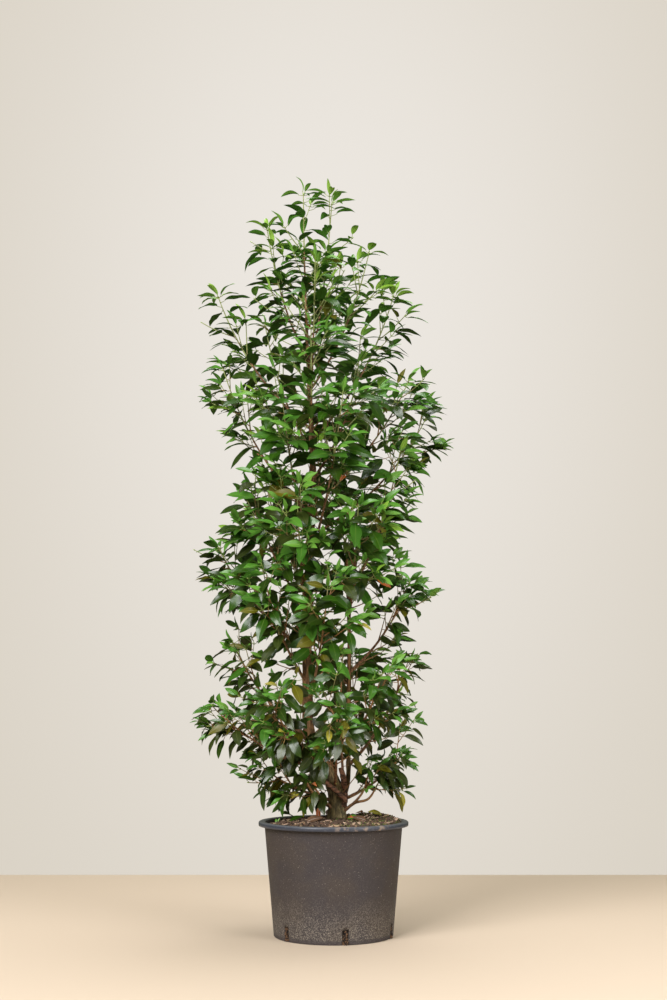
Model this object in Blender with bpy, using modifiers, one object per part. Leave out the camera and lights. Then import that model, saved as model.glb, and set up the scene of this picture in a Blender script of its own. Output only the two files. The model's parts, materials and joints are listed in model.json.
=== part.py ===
"""Potted Portuguese laurel: a tall column-shaped evergreen in its black nursery pot.

The plant is built limb by limb. A leaning trunk and a thin second stem carry boughs, and each
bough ends where it enters a mass of foliage: one stem with twigs and leaves fused on. The origin
is the middle of the pot's flat underside. Metres, +Z up, the front looks towards -Y.
"""

import math
from collections import namedtuple

import bmesh
import bpy
import numpy as np
from mathutils import Matrix, Vector
from mathutils.bvhtree import BVHTree

# Pot
POT_HEIGHT = 0.296
POT_RIM_RADIUS = 0.200
POT_FOOT_RADIUS = 0.158
POT_WALL = 0.003
RIM_OVERHANG = 0.0155
RIM_DEPTH = 0.011
RIM_ROUNDING = 0.003
POT_STEPS = 32
SLOT_COUNT = 6
SLOT_WIDTH = 0.016
SLOT_HEIGHT = 0.038
SLOT_DEPTH = 0.016
SLOT_FIRST_ANGLE = -79.0

# Compost
SOIL_TOP = 0.300
SOIL_EDGE_DROP = 0.016
SOIL_HALFWAY_DROP = 0.006
SOIL_FLAT_RADIUS = 0.085

# Gaps between neighbours
CLEARANCE = 0.0003
WALL_CLEARANCE = 0.0004
CUT_CLEARANCE = 0.0004

# Trunk and second stem: (height, sideways, depth, radius) of the few stations that shape them
TRUNK = (
    (0.290, 0.009, 0.000, 0.0300),
    (0.325, 0.010, 0.000, 0.0230),
    (0.375, 0.006, 0.000, 0.0215),
    (0.440, -0.026, 0.000, 0.0185),
    (0.520, -0.064, 0.000, 0.0160),
    (0.645, -0.071, 0.000, 0.0128),
    (0.870, -0.071, 0.000, 0.0112),
    (1.190, -0.058, 0.000, 0.0095),
    (1.350, -0.061, 0.000, 0.0072),
    (1.610, -0.074, 0.000, 0.0046),
    (1.700, -0.077, 0.000, 0.0036),
)
SECOND_STEM = (
    (0.345, 0.018, 0.016, 0.0085),
    (0.400, 0.039, 0.030, 0.0062),
    (0.560, 0.040, 0.034, 0.0056),
    (0.800, 0.043, 0.030, 0.0050),
    (1.000, 0.036, 0.022, 0.0042),
)
STATION_STEPS = 2
FLAT_CUT_SIZE = 0.15
TRUNK_SIDES = 10
LIMB_SIDES = 6
MASS_STEM_SIDES = 4
SHARP_ANGLE = math.radians(50)

# Crown: how far leaves reach to the left and right at each height, and its depth as a share of that
CROWN_OUTLINE = (
    (0.30, -0.18, 0.19),
    (0.38, -0.20, 0.21),
    (0.45, -0.30, 0.22),
    (0.56, -0.38, 0.23),
    (0.64, -0.29, 0.21),
    (0.70, -0.35, 0.27),
    (0.80, -0.27, 0.20),
    (0.93, -0.36, 0.29),
    (1.02, -0.37, 0.23),
    (1.12, -0.33, 0.22),
    (1.21, -0.25, 0.24),
    (1.33, -0.29, 0.33),
    (1.44, -0.36, 0.30),
    (1.60, -0.34, 0.25),
    (1.71, -0.37, 0.24),
    (1.76, -0.38, 0.20),
    (1.82, -0.27, 0.16),
    (1.95, -0.24, 0.07),
    (2.03, -0.16, 0.04),
    (2.10, -0.11, -0.03),
)
CROWN_DEPTH = 0.95
OUTLINE_SLACK = 0.015

# Limbs
BOW_OUT = 0.35
BOW_UP = 0.25
BARE_BOUGH = 0.42
BARE_TWIG = 0.30
LIMB_RADIUS_LOW = 0.0052
LIMB_RADIUS_HIGH = 0.0034
LIMB_TIP_RADIUS = 0.0026
BOUGH_POINTS = 5
STEM_POINTS = 4
STRAIGHT_START = 0.010
LOOK_AHEAD = 0.02

# Twigs: a share of a mass is counted along its stem, and a share of a twig along the twig
SEED = 41
GOLDEN_ANGLE = math.radians(137.5)
TWIGS = 4
TWIG_SHARES = (0.06, 0.80)
TWIG_LENGTH = 0.115
TWIG_LENGTH_SPREAD = (0.85, 1.10)
TWIG_TOP_SHORTER = 0.26
TWIG_ANGLE = math.radians(48)
TWIG_TURN_OUT = 0.30
TWIG_TURN_UP = 0.15
TWIG_ROOT_SHARE = 0.66
TWIG_TIP_RADIUS = 0.0018

# Leaves: fewer and larger than life, each a flat double pyramid bent at its widest place
LEAVES_ON_LOW_TWIG = 4
LEAVES_ON_HIGH_TWIG = 3
LEAVES_ON_STEM = 4
LEAF_SHARES_ON_STEM = (0.20, 0.99)
LEAF_SHARES_ON_TWIG = (0.30, 0.98)
LEAF_LENGTH = 0.118
LEAF_LENGTH_SPREAD = (0.90, 1.08)
LEAF_HALF_WIDTH = 0.027
LEAF_THICKNESS = 0.0032
LEAF_WIDEST = 0.42
LEAF_SINK = 0.0006
LEAF_ANGLE = math.radians(58)
LEAF_TURN_OUT = 0.30
LEAF_ARCH = 0.07
LEAF_TIP_DROP = 0.10
LEAF_ROLL = 0.45
LEAF_TRIES = 10
LEAF_SHORTER_EACH_TRY = 0.02
DROOP_HEIGHTS = (0.35, 0.80, 1.40, 1.95)
DROOPS = (0.95, 0.62, 0.42, 0.16)
DROOP_SPREAD = 0.12

# Room round the foliage
OWN_SPACE_MARGIN = 0.002
LIMB_MARGIN = 0.004
POT_MARGIN = 0.004
INNER_CROWN = 0.12

Limb = namedtuple("Limb", "name parent start tip bough")
LIMBS = (
    # top of the crown
    Limb("second_leader", "trunk", 1.52, (-0.005, 0.02, 2.02), True),
    Limb("top_left", "trunk", 1.56, (-0.190, 0.04, 1.95), False),
    Limb("top_right", "trunk", 1.47, (0.100, -0.03, 1.86), True),
    Limb("top_back", "trunk", 1.48, (0.020, 0.14, 1.87), False),
    Limb("top_front", "trunk", 1.42, (-0.050, -0.13, 1.80), False),
    # upper third
    Limb("upper_left", "trunk", 1.36, (-0.325, 0.00, 1.74), True),
    Limb("upper_right", "trunk", 1.33, (0.170, 0.03, 1.75), True),
    Limb("upper_back_left", "trunk", 1.30, (-0.200, 0.16, 1.70), False),
    Limb("upper_back_right", "trunk", 1.22, (0.090, 0.19, 1.63), False),
    Limb("upper_front", "trunk", 1.24, (-0.060, -0.18, 1.60), False),
    # widest part
    Limb("high_left", "trunk", 1.12, (-0.305, -0.04, 1.52), True),
    Limb("high_right", "trunk", 1.16, (0.205, -0.07, 1.48), True),
    Limb("far_right", "trunk", 1.06, (0.260, 0.05, 1.40), True),
    Limb("high_front_left", "trunk", 1.04, (-0.135, -0.19, 1.40), False),
    Limb("high_front", "trunk", 1.00, (0.025, -0.20, 1.42), True),
    Limb("high_back", "trunk", 1.02, (-0.030, 0.21, 1.44), False),
    # middle
    Limb("mid_right", "second_stem", 0.90, (0.180, -0.09, 1.28), True),
    Limb("mid_left", "trunk", 0.86, (-0.225, -0.07, 1.19), True),
    Limb("mid_back_left", "trunk", 0.92, (-0.200, 0.15, 1.26), False),
    Limb("mid_front", "trunk", 0.82, (-0.095, -0.19, 1.14), False),
    Limb("mid_front_right", "second_stem", 0.84, (0.065, -0.17, 1.12), False),
    Limb("mid_back", "second_stem", 0.86, (0.080, 0.18, 1.18), False),
    # waist
    Limb("far_left", "trunk", 0.75, (-0.315, 0.03, 1.03), True),
    Limb("waist_right", "second_stem", 0.69, (0.205, -0.02, 0.93), True),
    Limb("waist_front_left", "trunk", 0.66, (-0.185, -0.14, 0.95), True),
    Limb("waist_front", "trunk", 0.60, (-0.015, -0.20, 0.90), True),
    Limb("waist_back", "trunk", 0.62, (-0.060, 0.21, 0.94), False),
    # low skirt
    Limb("low_left", "trunk", 0.51, (-0.275, 0.03, 0.77), True),
    Limb("low_right", "second_stem", 0.44, (0.205, 0.05, 0.72), True),
    Limb("low_front_right", "second_stem", 0.50, (0.125, -0.15, 0.68), False),
    Limb("low_back", "second_stem", 0.50, (0.050, 0.20, 0.74), False),
    Limb("foot_left", "trunk", 0.42, (-0.325, -0.03, 0.60), True),
    Limb("foot_front_left", "trunk", 0.43, (-0.165, -0.16, 0.62), False),
    Limb("foot_front", "trunk", 0.38, (0.010, -0.20, 0.60), False),
    Limb("foot_right", "trunk", 0.345, (0.180, -0.05, 0.47), False),
    Limb("foot_back_left", "trunk", 0.42, (-0.190, 0.16, 0.58), False),
    Limb("low_left_skirt", "trunk", 0.345, (-0.190, -0.03, 0.44), False),
)
LEADER = Limb("leader", "trunk", TRUNK[-1][0], (-0.086, 0.00, 2.04), False)

# Base colour, roughness, metallic
FINISHES = {
    "pot_plastic": ((0.036, 0.034, 0.036), 0.55, 0.0),
    "compost": ((0.060, 0.036, 0.024), 0.95, 0.0),
    "bark": ((0.160, 0.085, 0.050), 0.80, 0.0),
    "leaf": ((0.035, 0.130, 0.022), 0.40, 0.0),
}


def clear_scene():
    for obj in list(bpy.data.objects):
        bpy.data.objects.remove(obj)


def new_collection(name):
    collection = bpy.data.collections.new(name)
    bpy.context.scene.collection.children.link(collection)
    return collection


def make_material(name):
    colour, roughness, metallic = FINISHES[name]
    material = bpy.data.materials.new(name)
    material.use_nodes = True
    shader = material.node_tree.nodes["Principled BSDF"]
    shader.inputs["Base Color"].default_value = (*colour, 1.0)
    shader.inputs["Roughness"].default_value = roughness
    shader.inputs["Metallic"].default_value = metallic
    return material


def link(name, data, collection, material=None):
    obj = bpy.data.objects.new(name, data)
    collection.objects.link(obj)
    if material:
        data.materials.append(material)
    return obj


def evaluated_mesh(obj):
    """The object's mesh with its modifiers applied, in its own space."""
    bpy.context.view_layer.update()
    graph = bpy.context.evaluated_depsgraph_get()
    return bpy.data.meshes.new_from_object(obj.evaluated_get(graph))


def keep_largest_piece(mesh):
    """Drops loose scraps and sealed hollows: only the shell with the widest box stays."""
    shape = bmesh.new()
    shape.from_mesh(mesh)
    left = set(shape.verts)
    shells = []
    while left:
        reached = {left.pop()}
        waiting = list(reached)
        while waiting:
            for edge in waiting.pop().link_edges:
                for vertex in edge.verts:
                    if vertex in left:
                        left.discard(vertex)
                        reached.add(vertex)
                        waiting.append(vertex)
        places = np.array([vertex.co for vertex in reached])
        shells.append((float(np.ptp(places, axis=0).sum()), reached))
    largest = max(shells, key=lambda shell: shell[0])[1]
    scraps = [vertex for vertex in shape.verts if vertex not in largest]
    bmesh.ops.delete(shape, geom=scraps, context="VERTS")
    shape.to_mesh(mesh)
    shape.free()


def curve_tube(name, points, radii, collection, sides):
    """A tapering tube through the points, with 4, 6, 8 or more sides."""
    data = bpy.data.curves.new(name, "CURVE")
    data.dimensions = "3D"
    data.bevel_depth = 1.0
    data.bevel_resolution = (sides - 4) // 2
    data.use_fill_caps = True
    spline = data.splines.new("POLY")
    spline.points.add(len(points) - 1)
    for point, place, radius in zip(spline.points, points, radii):
        point.co = (*place, 1.0)
        point.radius = radius
    return link(name, data, collection)


def tube_mesh(name, points, radii, collection, sides, material=None):
    """The same tube as one closed mesh, so that it can be cut and joined."""
    tube = curve_tube(name + "_line", points, radii, collection, sides)
    mesh = evaluated_mesh(tube)
    bpy.data.objects.remove(tube)
    shape = bmesh.new()
    shape.from_mesh(mesh)
    bmesh.ops.remove_doubles(shape, verts=shape.verts, dist=1e-5)
    bmesh.ops.recalc_face_normals(shape, faces=shape.faces)
    shape.to_mesh(mesh)
    shape.free()
    mesh.name = name
    mesh.shade_smooth()
    mesh.set_sharp_from_angle(angle=SHARP_ANGLE)
    return link(name, mesh, collection, material)


def stations_path(stations):
    """Points and radii of a smooth line through the stations, by cubic Hermite steps."""
    table = np.array(stations)
    keys = np.arange(len(table), dtype=float)
    fine = np.linspace(0, len(table) - 1, (len(table) - 1) * STATION_STEPS + 1)
    slopes = np.gradient(table, axis=0)
    low = np.minimum(fine.astype(int), len(table) - 2)
    t = (fine - keys[low])[:, None]
    a, b, da, db = table[low], table[low + 1], slopes[low], slopes[low + 1]
    t2, t3 = t * t, t * t * t
    smooth = a * (2 * t3 - 3 * t2 + 1) + da * (t3 - 2 * t2 + t)
    smooth += b * (3 * t2 - 2 * t3) + db * (t3 - t2)
    return smooth[:, [1, 2, 0]], smooth[:, 3]


STEMS = {"trunk": stations_path(TRUNK), "second_stem": stations_path(SECOND_STEM)}


def stem_at(parent, height):
    """Centre and radius of a stem at a height."""
    points, radii = STEMS[parent]
    place = [np.interp(height, points[:, 2], points[:, axis]) for axis in range(3)]
    return np.array(place), float(np.interp(height, points[:, 2], radii))


def limb_points(limb, shares):
    """Places along a limb: it leaves its stem outwards, then turns up towards its tip."""
    root, _ = stem_at(limb.parent, limb.start)
    span = np.array(limb.tip) - root
    t = np.asarray(shares, float)[:, None]
    sideways = t + BOW_OUT * t * (1 - t)
    upwards = t - BOW_UP * t * (1 - t)
    return root + np.hstack([span[:2] * sideways, span[2:] * upwards])


def limb_radius(limb, shares):
    """A limb tapers evenly, and low limbs are thicker than high ones."""
    low, high = SOIL_TOP, TRUNK[-1][0]
    height_share = (limb.start - low) / (high - low)
    root = LIMB_RADIUS_LOW + (LIMB_RADIUS_HIGH - LIMB_RADIUS_LOW) * height_share
    return root + (LIMB_TIP_RADIUS - root) * np.asarray(shares, float)


def bare_share(limb):
    if limb is LEADER:
        return 0.0
    return BARE_BOUGH if limb.bough else BARE_TWIG


def unit(vector):
    return vector / np.linalg.norm(vector)


def side_axes(direction):
    """Two unit vectors square to a direction, the first of them level."""
    level = np.cross(direction, (0.0, 0.0, 1.0))
    if np.linalg.norm(level) < 1e-6:
        level = np.array((1.0, 0.0, 0.0))
    level = unit(level)
    return level, np.cross(level, direction)


def segment_distance(places, starts, ends):
    """Distance from each place to each segment."""
    along = ends - starts
    offset = places[:, None, :] - starts[None]
    length = np.maximum((along**2).sum(1), 1e-12)
    share = np.clip((offset * along).sum(2) / length, 0, 1)
    return np.linalg.norm(offset - share[..., None] * along, axis=2)


class Crown:
    """What each mass has to keep clear of: the limbs, and the other masses' spaces."""

    def __init__(self, limbs):
        runs = [STEMS[name] for name in STEMS]
        for limb in limbs:
            shares = np.linspace(0, bare_share(limb), BOUGH_POINTS)
            runs.append((limb_points(limb, shares), limb_radius(limb, shares)))
        self.starts = np.vstack([points[:-1] for points, _ in runs])
        self.ends = np.vstack([points[1:] for points, _ in runs])
        self.radii = np.concatenate([radii[:-1] for _, radii in runs])
        spines = [limb_points(limb, np.linspace(bare_share(limb), 1, STEM_POINTS)) for limb in limbs]
        self.spine_starts = np.vstack([spine[:-1] for spine in spines])
        self.spine_ends = np.vstack([spine[1:] for spine in spines])
        self.spine_owner = np.repeat(np.arange(len(limbs)), STEM_POINTS - 1)

    def in_own_space(self, index, places):
        """True if every place is nearer to this mass's own stem than to any other's."""
        distance = segment_distance(places, self.spine_starts, self.spine_ends)
        own = distance[:, self.spine_owner == index].min(1)
        other = distance[:, self.spine_owner != index].min(1)
        return bool((own + OWN_SPACE_MARGIN < other).all())

    def clear_of_limbs(self, places):
        distance = segment_distance(places, self.starts, self.ends)
        return bool((distance - self.radii > LIMB_MARGIN).all())

    def has_room(self, index, places):
        """True if all the places are free for this mass to grow in."""
        inside = inside_outline(places) and clear_of_pot(places)
        return inside and self.in_own_space(index, places) and self.clear_of_limbs(places)


def inside_outline(places):
    """True if the places lie inside the crown's outline, which is a half ellipse on each side."""
    heights, left, right = np.array(CROWN_OUTLINE).T
    axis = np.interp(places[:, 2], STEMS["trunk"][0][:, 2], STEMS["trunk"][0][:, 0])
    to_left = axis - np.interp(places[:, 2], heights, left) + OUTLINE_SLACK
    to_right = np.interp(places[:, 2], heights, right) - axis + OUTLINE_SLACK
    sideways = places[:, 0] - axis
    reach = np.where(sideways > 0, to_right, to_left)
    depth = CROWN_DEPTH * (to_left + to_right) / 2
    return bool(((sideways / reach) ** 2 + (places[:, 1] / depth) ** 2 < 1).all())


def clear_of_pot(places):
    radius = np.hypot(places[:, 0], places[:, 1])
    above_rim = places[:, 2] > SOIL_TOP + POT_MARGIN
    outside = radius > POT_RIM_RADIUS + POT_MARGIN
    return bool((above_rim | (outside & (places[:, 2] > POT_HEIGHT))).all())


def leaf_frame(twig_direction, angle, outward, height, rng):
    """Direction and upper side of a leaf: it spreads from its twig, turns outwards and droops."""
    level, upper = side_axes(twig_direction)
    around = math.cos(angle) * level + math.sin(angle) * upper
    spread = math.sin(LEAF_ANGLE) * around + math.cos(LEAF_ANGLE) * twig_direction
    droop = np.interp(height, DROOP_HEIGHTS, DROOPS) + rng.uniform(-DROOP_SPREAD, DROOP_SPREAD)
    direction = unit(spread + LEAF_TURN_OUT * outward - np.array((0.0, 0.0, droop)))
    level, upper = side_axes(direction)
    roll = rng.uniform(-LEAF_ROLL, LEAF_ROLL)
    return direction, math.cos(roll) * upper + math.sin(roll) * level


def leaf_places(root, direction, upper, length):
    """The six corners of a leaf: root, tip, two edges, and its thickness where it is widest."""
    side = np.cross(upper, direction)
    half_width = LEAF_HALF_WIDTH * length / LEAF_LENGTH
    middle = root + LEAF_WIDEST * length * direction + LEAF_ARCH * length * upper
    tip = root + length * direction - LEAF_TIP_DROP * length * upper
    thickness = LEAF_THICKNESS / 2 * upper
    back = root - LEAF_SINK * direction
    edges = (middle + half_width * side, middle - half_width * side)
    return np.array([back, tip, *edges, middle + thickness, middle - thickness])


def leaf_shape(places):
    """An octahedron whose corners are moved to the leaf's six places."""
    shape = bmesh.new()
    bmesh.ops.create_uvsphere(shape, u_segments=4, v_segments=2, radius=1.0)
    back, tip, right, left, top, bottom = (Vector(place) for place in places)
    corners = {(0, 0, -1): back, (0, 0, 1): tip, (1, 0, 0): right}
    corners.update({(-1, 0, 0): left, (0, 1, 0): top, (0, -1, 0): bottom})
    for vertex in shape.verts:
        vertex.co = corners[tuple(round(value) for value in vertex.co)]
    return shape


def twig_shape(start, end, stem_radius):
    """A straight three-sided twig that tapers from start to end."""
    direction = Vector(end - start)
    turn = direction.to_track_quat("Z", "Y").to_matrix().to_4x4()
    shape = bmesh.new()
    bmesh.ops.create_cone(
        shape,
        cap_ends=True,
        segments=3,
        radius1=TWIG_ROOT_SHARE * stem_radius,
        radius2=TWIG_TIP_RADIUS,
        depth=direction.length,
        matrix=Matrix.Translation(Vector((start + end) / 2)) @ turn,
    )
    return shape


def shape_object(name, shape, collection):
    mesh = bpy.data.meshes.new(name)
    shape.to_mesh(mesh)
    return link(name, mesh, collection)


def outward_at(place):
    """Level direction from the trunk's line to a place, shorter than one near the trunk."""
    centre, _ = stem_at("trunk", place[2])
    away = (place - centre) * (1, 1, 0)
    return away / max(np.linalg.norm(away), INNER_CROWN)


def spaced(shares, count):
    """Evenly spaced shares from the first to the last."""
    return np.linspace(*shares, count)


def grow_twigs(index, limb, crown):
    """Start, end, direction and shape of each side twig that stays in the mass's own space."""
    rng = np.random.default_rng([SEED, index])
    phase = rng.uniform(0, 2 * math.pi)
    bare = bare_share(limb)
    found = []
    for number, along in enumerate(spaced(TWIG_SHARES, TWIGS)):
        share = bare + (1 - bare) * along
        here, ahead = limb_points(limb, (share, share + LOOK_AHEAD))
        level, upper = side_axes(unit(ahead - here))
        angle = phase + number * GOLDEN_ANGLE
        around = math.cos(angle) * level + math.sin(angle) * upper
        direction = math.sin(TWIG_ANGLE) * around + math.cos(TWIG_ANGLE) * unit(ahead - here)
        direction = unit(direction + TWIG_TURN_OUT * outward_at(here) + (0.0, 0.0, TWIG_TURN_UP))
        shorter = 1 - TWIG_TOP_SHORTER * number / (TWIGS - 1)
        length = TWIG_LENGTH * shorter * rng.uniform(*TWIG_LENGTH_SPREAD)
        end = here + length * direction
        places = here + np.linspace(0.25, 1, 6)[:, None] * (end - here)
        if crown.has_room(index, places):
            shape = twig_shape(here, end, float(limb_radius(limb, share)))
            found.append((here, end, direction, shape))
    return found


def leaf_bearers(limb, twigs):
    """Where leaves sit: the place, the bearer's direction and the twig's number, or None."""
    bare = bare_share(limb)
    places = []
    for along in spaced(LEAF_SHARES_ON_STEM, LEAVES_ON_STEM):
        share = bare + (1 - bare) * along
        here, behind = limb_points(limb, (share, share - LOOK_AHEAD))
        places.append((here, unit(here - behind), None))
    for number, (start, end, direction, _) in enumerate(twigs):
        leaves = LEAVES_ON_LOW_TWIG if number < TWIGS / 2 else LEAVES_ON_HIGH_TWIG
        for along in spaced(LEAF_SHARES_ON_TWIG, leaves):
            places.append((start + along * (end - start), direction, number))
    return places


def grow_leaves(index, limb, twigs, crown):
    """The leaves of one mass: each turns round its bearer until it has room, or is left out."""
    rng = np.random.default_rng([SEED, index, 7])
    twig_trees = [BVHTree.FromBMesh(shape) for *_, shape in twigs]
    leaf_trees, found = [], []
    phase = rng.uniform(0, 2 * math.pi)
    for order, (root, bearer, own) in enumerate(leaf_bearers(limb, twigs)):
        for attempt in range(LEAF_TRIES):
            angle = phase + order * GOLDEN_ANGLE + attempt * 2 * math.pi / LEAF_TRIES
            direction, upper = leaf_frame(bearer, angle, outward_at(root), root[2], rng)
            length = LEAF_LENGTH * rng.uniform(*LEAF_LENGTH_SPREAD)
            length *= 1 - LEAF_SHORTER_EACH_TRY * attempt
            places = leaf_places(root, direction, upper, length)
            middles = (places[2:4] + places[1]) / 2
            outer = np.vstack([places[1:], middles, (places[2:4] + places[0]) / 2])
            if not crown.has_room(index, outer):
                continue
            shape = leaf_shape(places)
            tree = BVHTree.FromBMesh(shape)
            others = leaf_trees + [twig for number, twig in enumerate(twig_trees) if number != own]
            if any(tree.overlap(other) for other in others):
                continue
            leaf_trees.append(tree)
            found.append(shape)
            break
    return found


def mass_stem(limb):
    """Points and radii of the stem of a mass. It starts 0.3 mm past its bough's flat tip."""
    bare = bare_share(limb)
    shares = np.linspace(bare, 1.0, STEM_POINTS)
    if limb is LEADER:
        tip, below = STEMS["trunk"][0][-1], STEMS["trunk"][0][-2]
    elif limb.bough:
        tip, below = limb_points(limb, np.linspace(0, bare, BOUGH_POINTS))[[-1, -2]]
    else:
        shares = np.concatenate([[0.0, bare / 2], shares])
        return limb_points(limb, shares), limb_radius(limb, shares)
    along = unit(tip - below)
    start = (tip + CLEARANCE * along, tip + STRAIGHT_START * along)
    points = np.vstack([start, limb_points(limb, shares)[1:]])
    radii = limb_radius(limb, np.insert(shares, 1, shares[0]))
    return points, radii


def build_mass(index, limb, crown, clearances, collection, material):
    """One mass of foliage: its stem joined with its twigs and leaves by one Boolean union."""
    name = "foliage_" + limb.name
    points, radii = mass_stem(limb)
    stem = tube_mesh(name, points, radii, collection, MASS_STEM_SIDES, material)
    if not limb.bough and limb is not LEADER:
        cut_clear(stem, [clearances[limb.parent]])
    twigs = grow_twigs(index, limb, crown)
    leaves = grow_leaves(index, limb, twigs, crown)
    pieces = new_collection(name + "_pieces")
    for number, shape in enumerate([twig[-1] for twig in twigs] + leaves):
        shape_object(f"{name}_piece_{number}", shape, pieces)
        shape.free()
    join = stem.modifiers.new("join", "BOOLEAN")
    join.operation = "UNION"
    join.operand_type = "COLLECTION"
    join.collection = pieces
    join.solver = "MANIFOLD"
    joined = evaluated_mesh(stem)
    stem.modifiers.clear()
    keep_largest_piece(joined)
    stem.data = joined
    for piece in list(pieces.objects):
        bpy.data.objects.remove(piece)
    bpy.data.collections.remove(pieces)
    return len(leaves)


def cut_clear(obj, cutters):
    for cutter in cutters:
        cut = obj.modifiers.new("clear_of_" + cutter.name, "BOOLEAN")
        cut.operation = "DIFFERENCE"
        cut.object = cutter
        cut.solver = "EXACT"


def hide_cutter(obj):
    obj.hide_render = True
    obj.display_type = "WIRE"
    return obj


def turned(name, profile, steps, collection, material):
    """A closed turned body from a profile of (radius, height) that runs down its outer side."""
    mesh = bpy.data.meshes.new(name)
    edges = [(i, i + 1) for i in range(len(profile) - 1)]
    mesh.from_pydata([(radius, 0.0, height) for radius, height in profile], edges, [])
    obj = link(name, mesh, collection, material)
    screw = obj.modifiers.new("turn", "SCREW")
    screw.steps = screw.render_steps = steps
    screw.use_merge_vertices = True
    screw.merge_threshold = 0.0001
    return obj


def build_pot(collection, cutters, material):
    """A tapered pot with a turned-over rim and six drain slots that run down to its foot."""
    top_radius = POT_RIM_RADIUS - RIM_OVERHANG
    inner_radius = top_radius - POT_WALL
    skirt_foot = POT_HEIGHT - RIM_DEPTH
    rim_under = POT_HEIGHT - POT_WALL
    profile = (
        (0.0, POT_WALL),
        (POT_FOOT_RADIUS - POT_WALL, POT_WALL),
        (inner_radius, rim_under),
        (inner_radius + RIM_ROUNDING, POT_HEIGHT),
        (POT_RIM_RADIUS - RIM_ROUNDING, POT_HEIGHT),
        (POT_RIM_RADIUS, POT_HEIGHT - RIM_ROUNDING),
        (POT_RIM_RADIUS, skirt_foot),
        (POT_RIM_RADIUS - POT_WALL, skirt_foot),
        (POT_RIM_RADIUS - POT_WALL, rim_under),
        (top_radius, rim_under),
        (POT_FOOT_RADIUS, 0.0),
        (0.0, 0.0),
    )
    pot = turned("pot", profile, POT_STEPS, collection, material)
    shape = bmesh.new()
    for number in range(SLOT_COUNT):
        angle = math.radians(SLOT_FIRST_ANGLE + number * 360 / SLOT_COUNT)
        turn = Matrix.Rotation(angle, 4, "Z")
        place = turn @ Matrix.Translation((POT_FOOT_RADIUS, 0.0, 0.0))
        size = Matrix.Diagonal((SLOT_DEPTH, SLOT_WIDTH, 2 * SLOT_HEIGHT, 1.0))
        bmesh.ops.create_cube(shape, size=1.0, matrix=place @ size)
    slots = hide_cutter(shape_object("drain_slots", shape, cutters))
    shape.free()
    cut_clear(pot, [slots])


def build_compost(collection, material):
    """The fill of the pot: it lies 0.3 mm inside the wall, level round the trunk, lower at the rim."""
    top_radius = POT_RIM_RADIUS - RIM_OVERHANG - POT_WALL
    foot_radius = POT_FOOT_RADIUS - POT_WALL
    slope = (top_radius - foot_radius) / (POT_HEIGHT - 2 * POT_WALL)
    edge_height = SOIL_TOP - SOIL_EDGE_DROP
    floor = POT_WALL + CLEARANCE

    def wall_at(height):
        return foot_radius + slope * (height - POT_WALL) - WALL_CLEARANCE

    profile = (
        (0.0, SOIL_TOP),
        (SOIL_FLAT_RADIUS, SOIL_TOP),
        ((SOIL_FLAT_RADIUS + top_radius) / 2, SOIL_TOP - SOIL_HALFWAY_DROP),
        (wall_at(edge_height), edge_height),
        (wall_at(floor), floor),
        (0.0, floor),
    )
    turned("compost", profile, POT_STEPS, collection, material)


def build_stems(collection, cutters, material):
    """Trunk and second stem, and the slightly wider cutters that keep the limbs clear of them."""
    ground = bmesh.new()
    place = Matrix.Translation((0.0, 0.0, SOIL_TOP + CLEARANCE - FLAT_CUT_SIZE / 2))
    bmesh.ops.create_cube(ground, size=FLAT_CUT_SIZE, matrix=place)
    flat_cut = hide_cutter(shape_object("flat_cut_at_the_soil", ground, cutters))
    ground.free()
    clearances = {}
    for name, (points, radii) in STEMS.items():
        sides = TRUNK_SIDES if name == "trunk" else LIMB_SIDES
        wide = tube_mesh(name + "_clearance", points, radii + CUT_CLEARANCE, cutters, sides)
        clearances[name] = hide_cutter(wide)
        stem = tube_mesh(name, points, radii, collection, sides, material)
        cut_clear(stem, [flat_cut] if name == "trunk" else [clearances["trunk"]])
    return clearances


def main():
    clear_scene()
    parts = new_collection("potted_portuguese_laurel")
    cutters = new_collection("cutters")
    materials = {name: make_material(name) for name in FINISHES}

    build_pot(parts, cutters, materials["pot_plastic"])
    build_compost(parts, materials["compost"])
    clearances = build_stems(parts, cutters, materials["bark"])

    limbs = (*LIMBS, LEADER)
    crown = Crown(limbs)
    leaves = 0
    for index, limb in enumerate(limbs):
        leaves += build_mass(index, limb, crown, clearances, parts, materials["leaf"])
        if limb.bough:
            shares = np.linspace(0, BARE_BOUGH, BOUGH_POINTS)
            points, radii = limb_points(limb, shares), limb_radius(limb, shares)
            bough = tube_mesh("bough_" + limb.name, points, radii, parts, LIMB_SIDES, materials["bark"])
            cut_clear(bough, [clearances[limb.parent]])
    print(f"{len(limbs)} masses with {leaves} leaves")


main()
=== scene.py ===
# %% [markdown]
# # A potted Portuguese laurel, leaf by leaf
#
# This lesson dresses a tall evergreen shrub in its black nursery pot. The imported model says where
# the pot, compost, stems, boughs and masses of foliage are. Here every mass gives way to twigs and
# leaves. Nearly all are placed by rules, a few at listed places, and a seed fixes every random draw.

# %% The fixed frame
import json
import math
from collections import namedtuple

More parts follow.
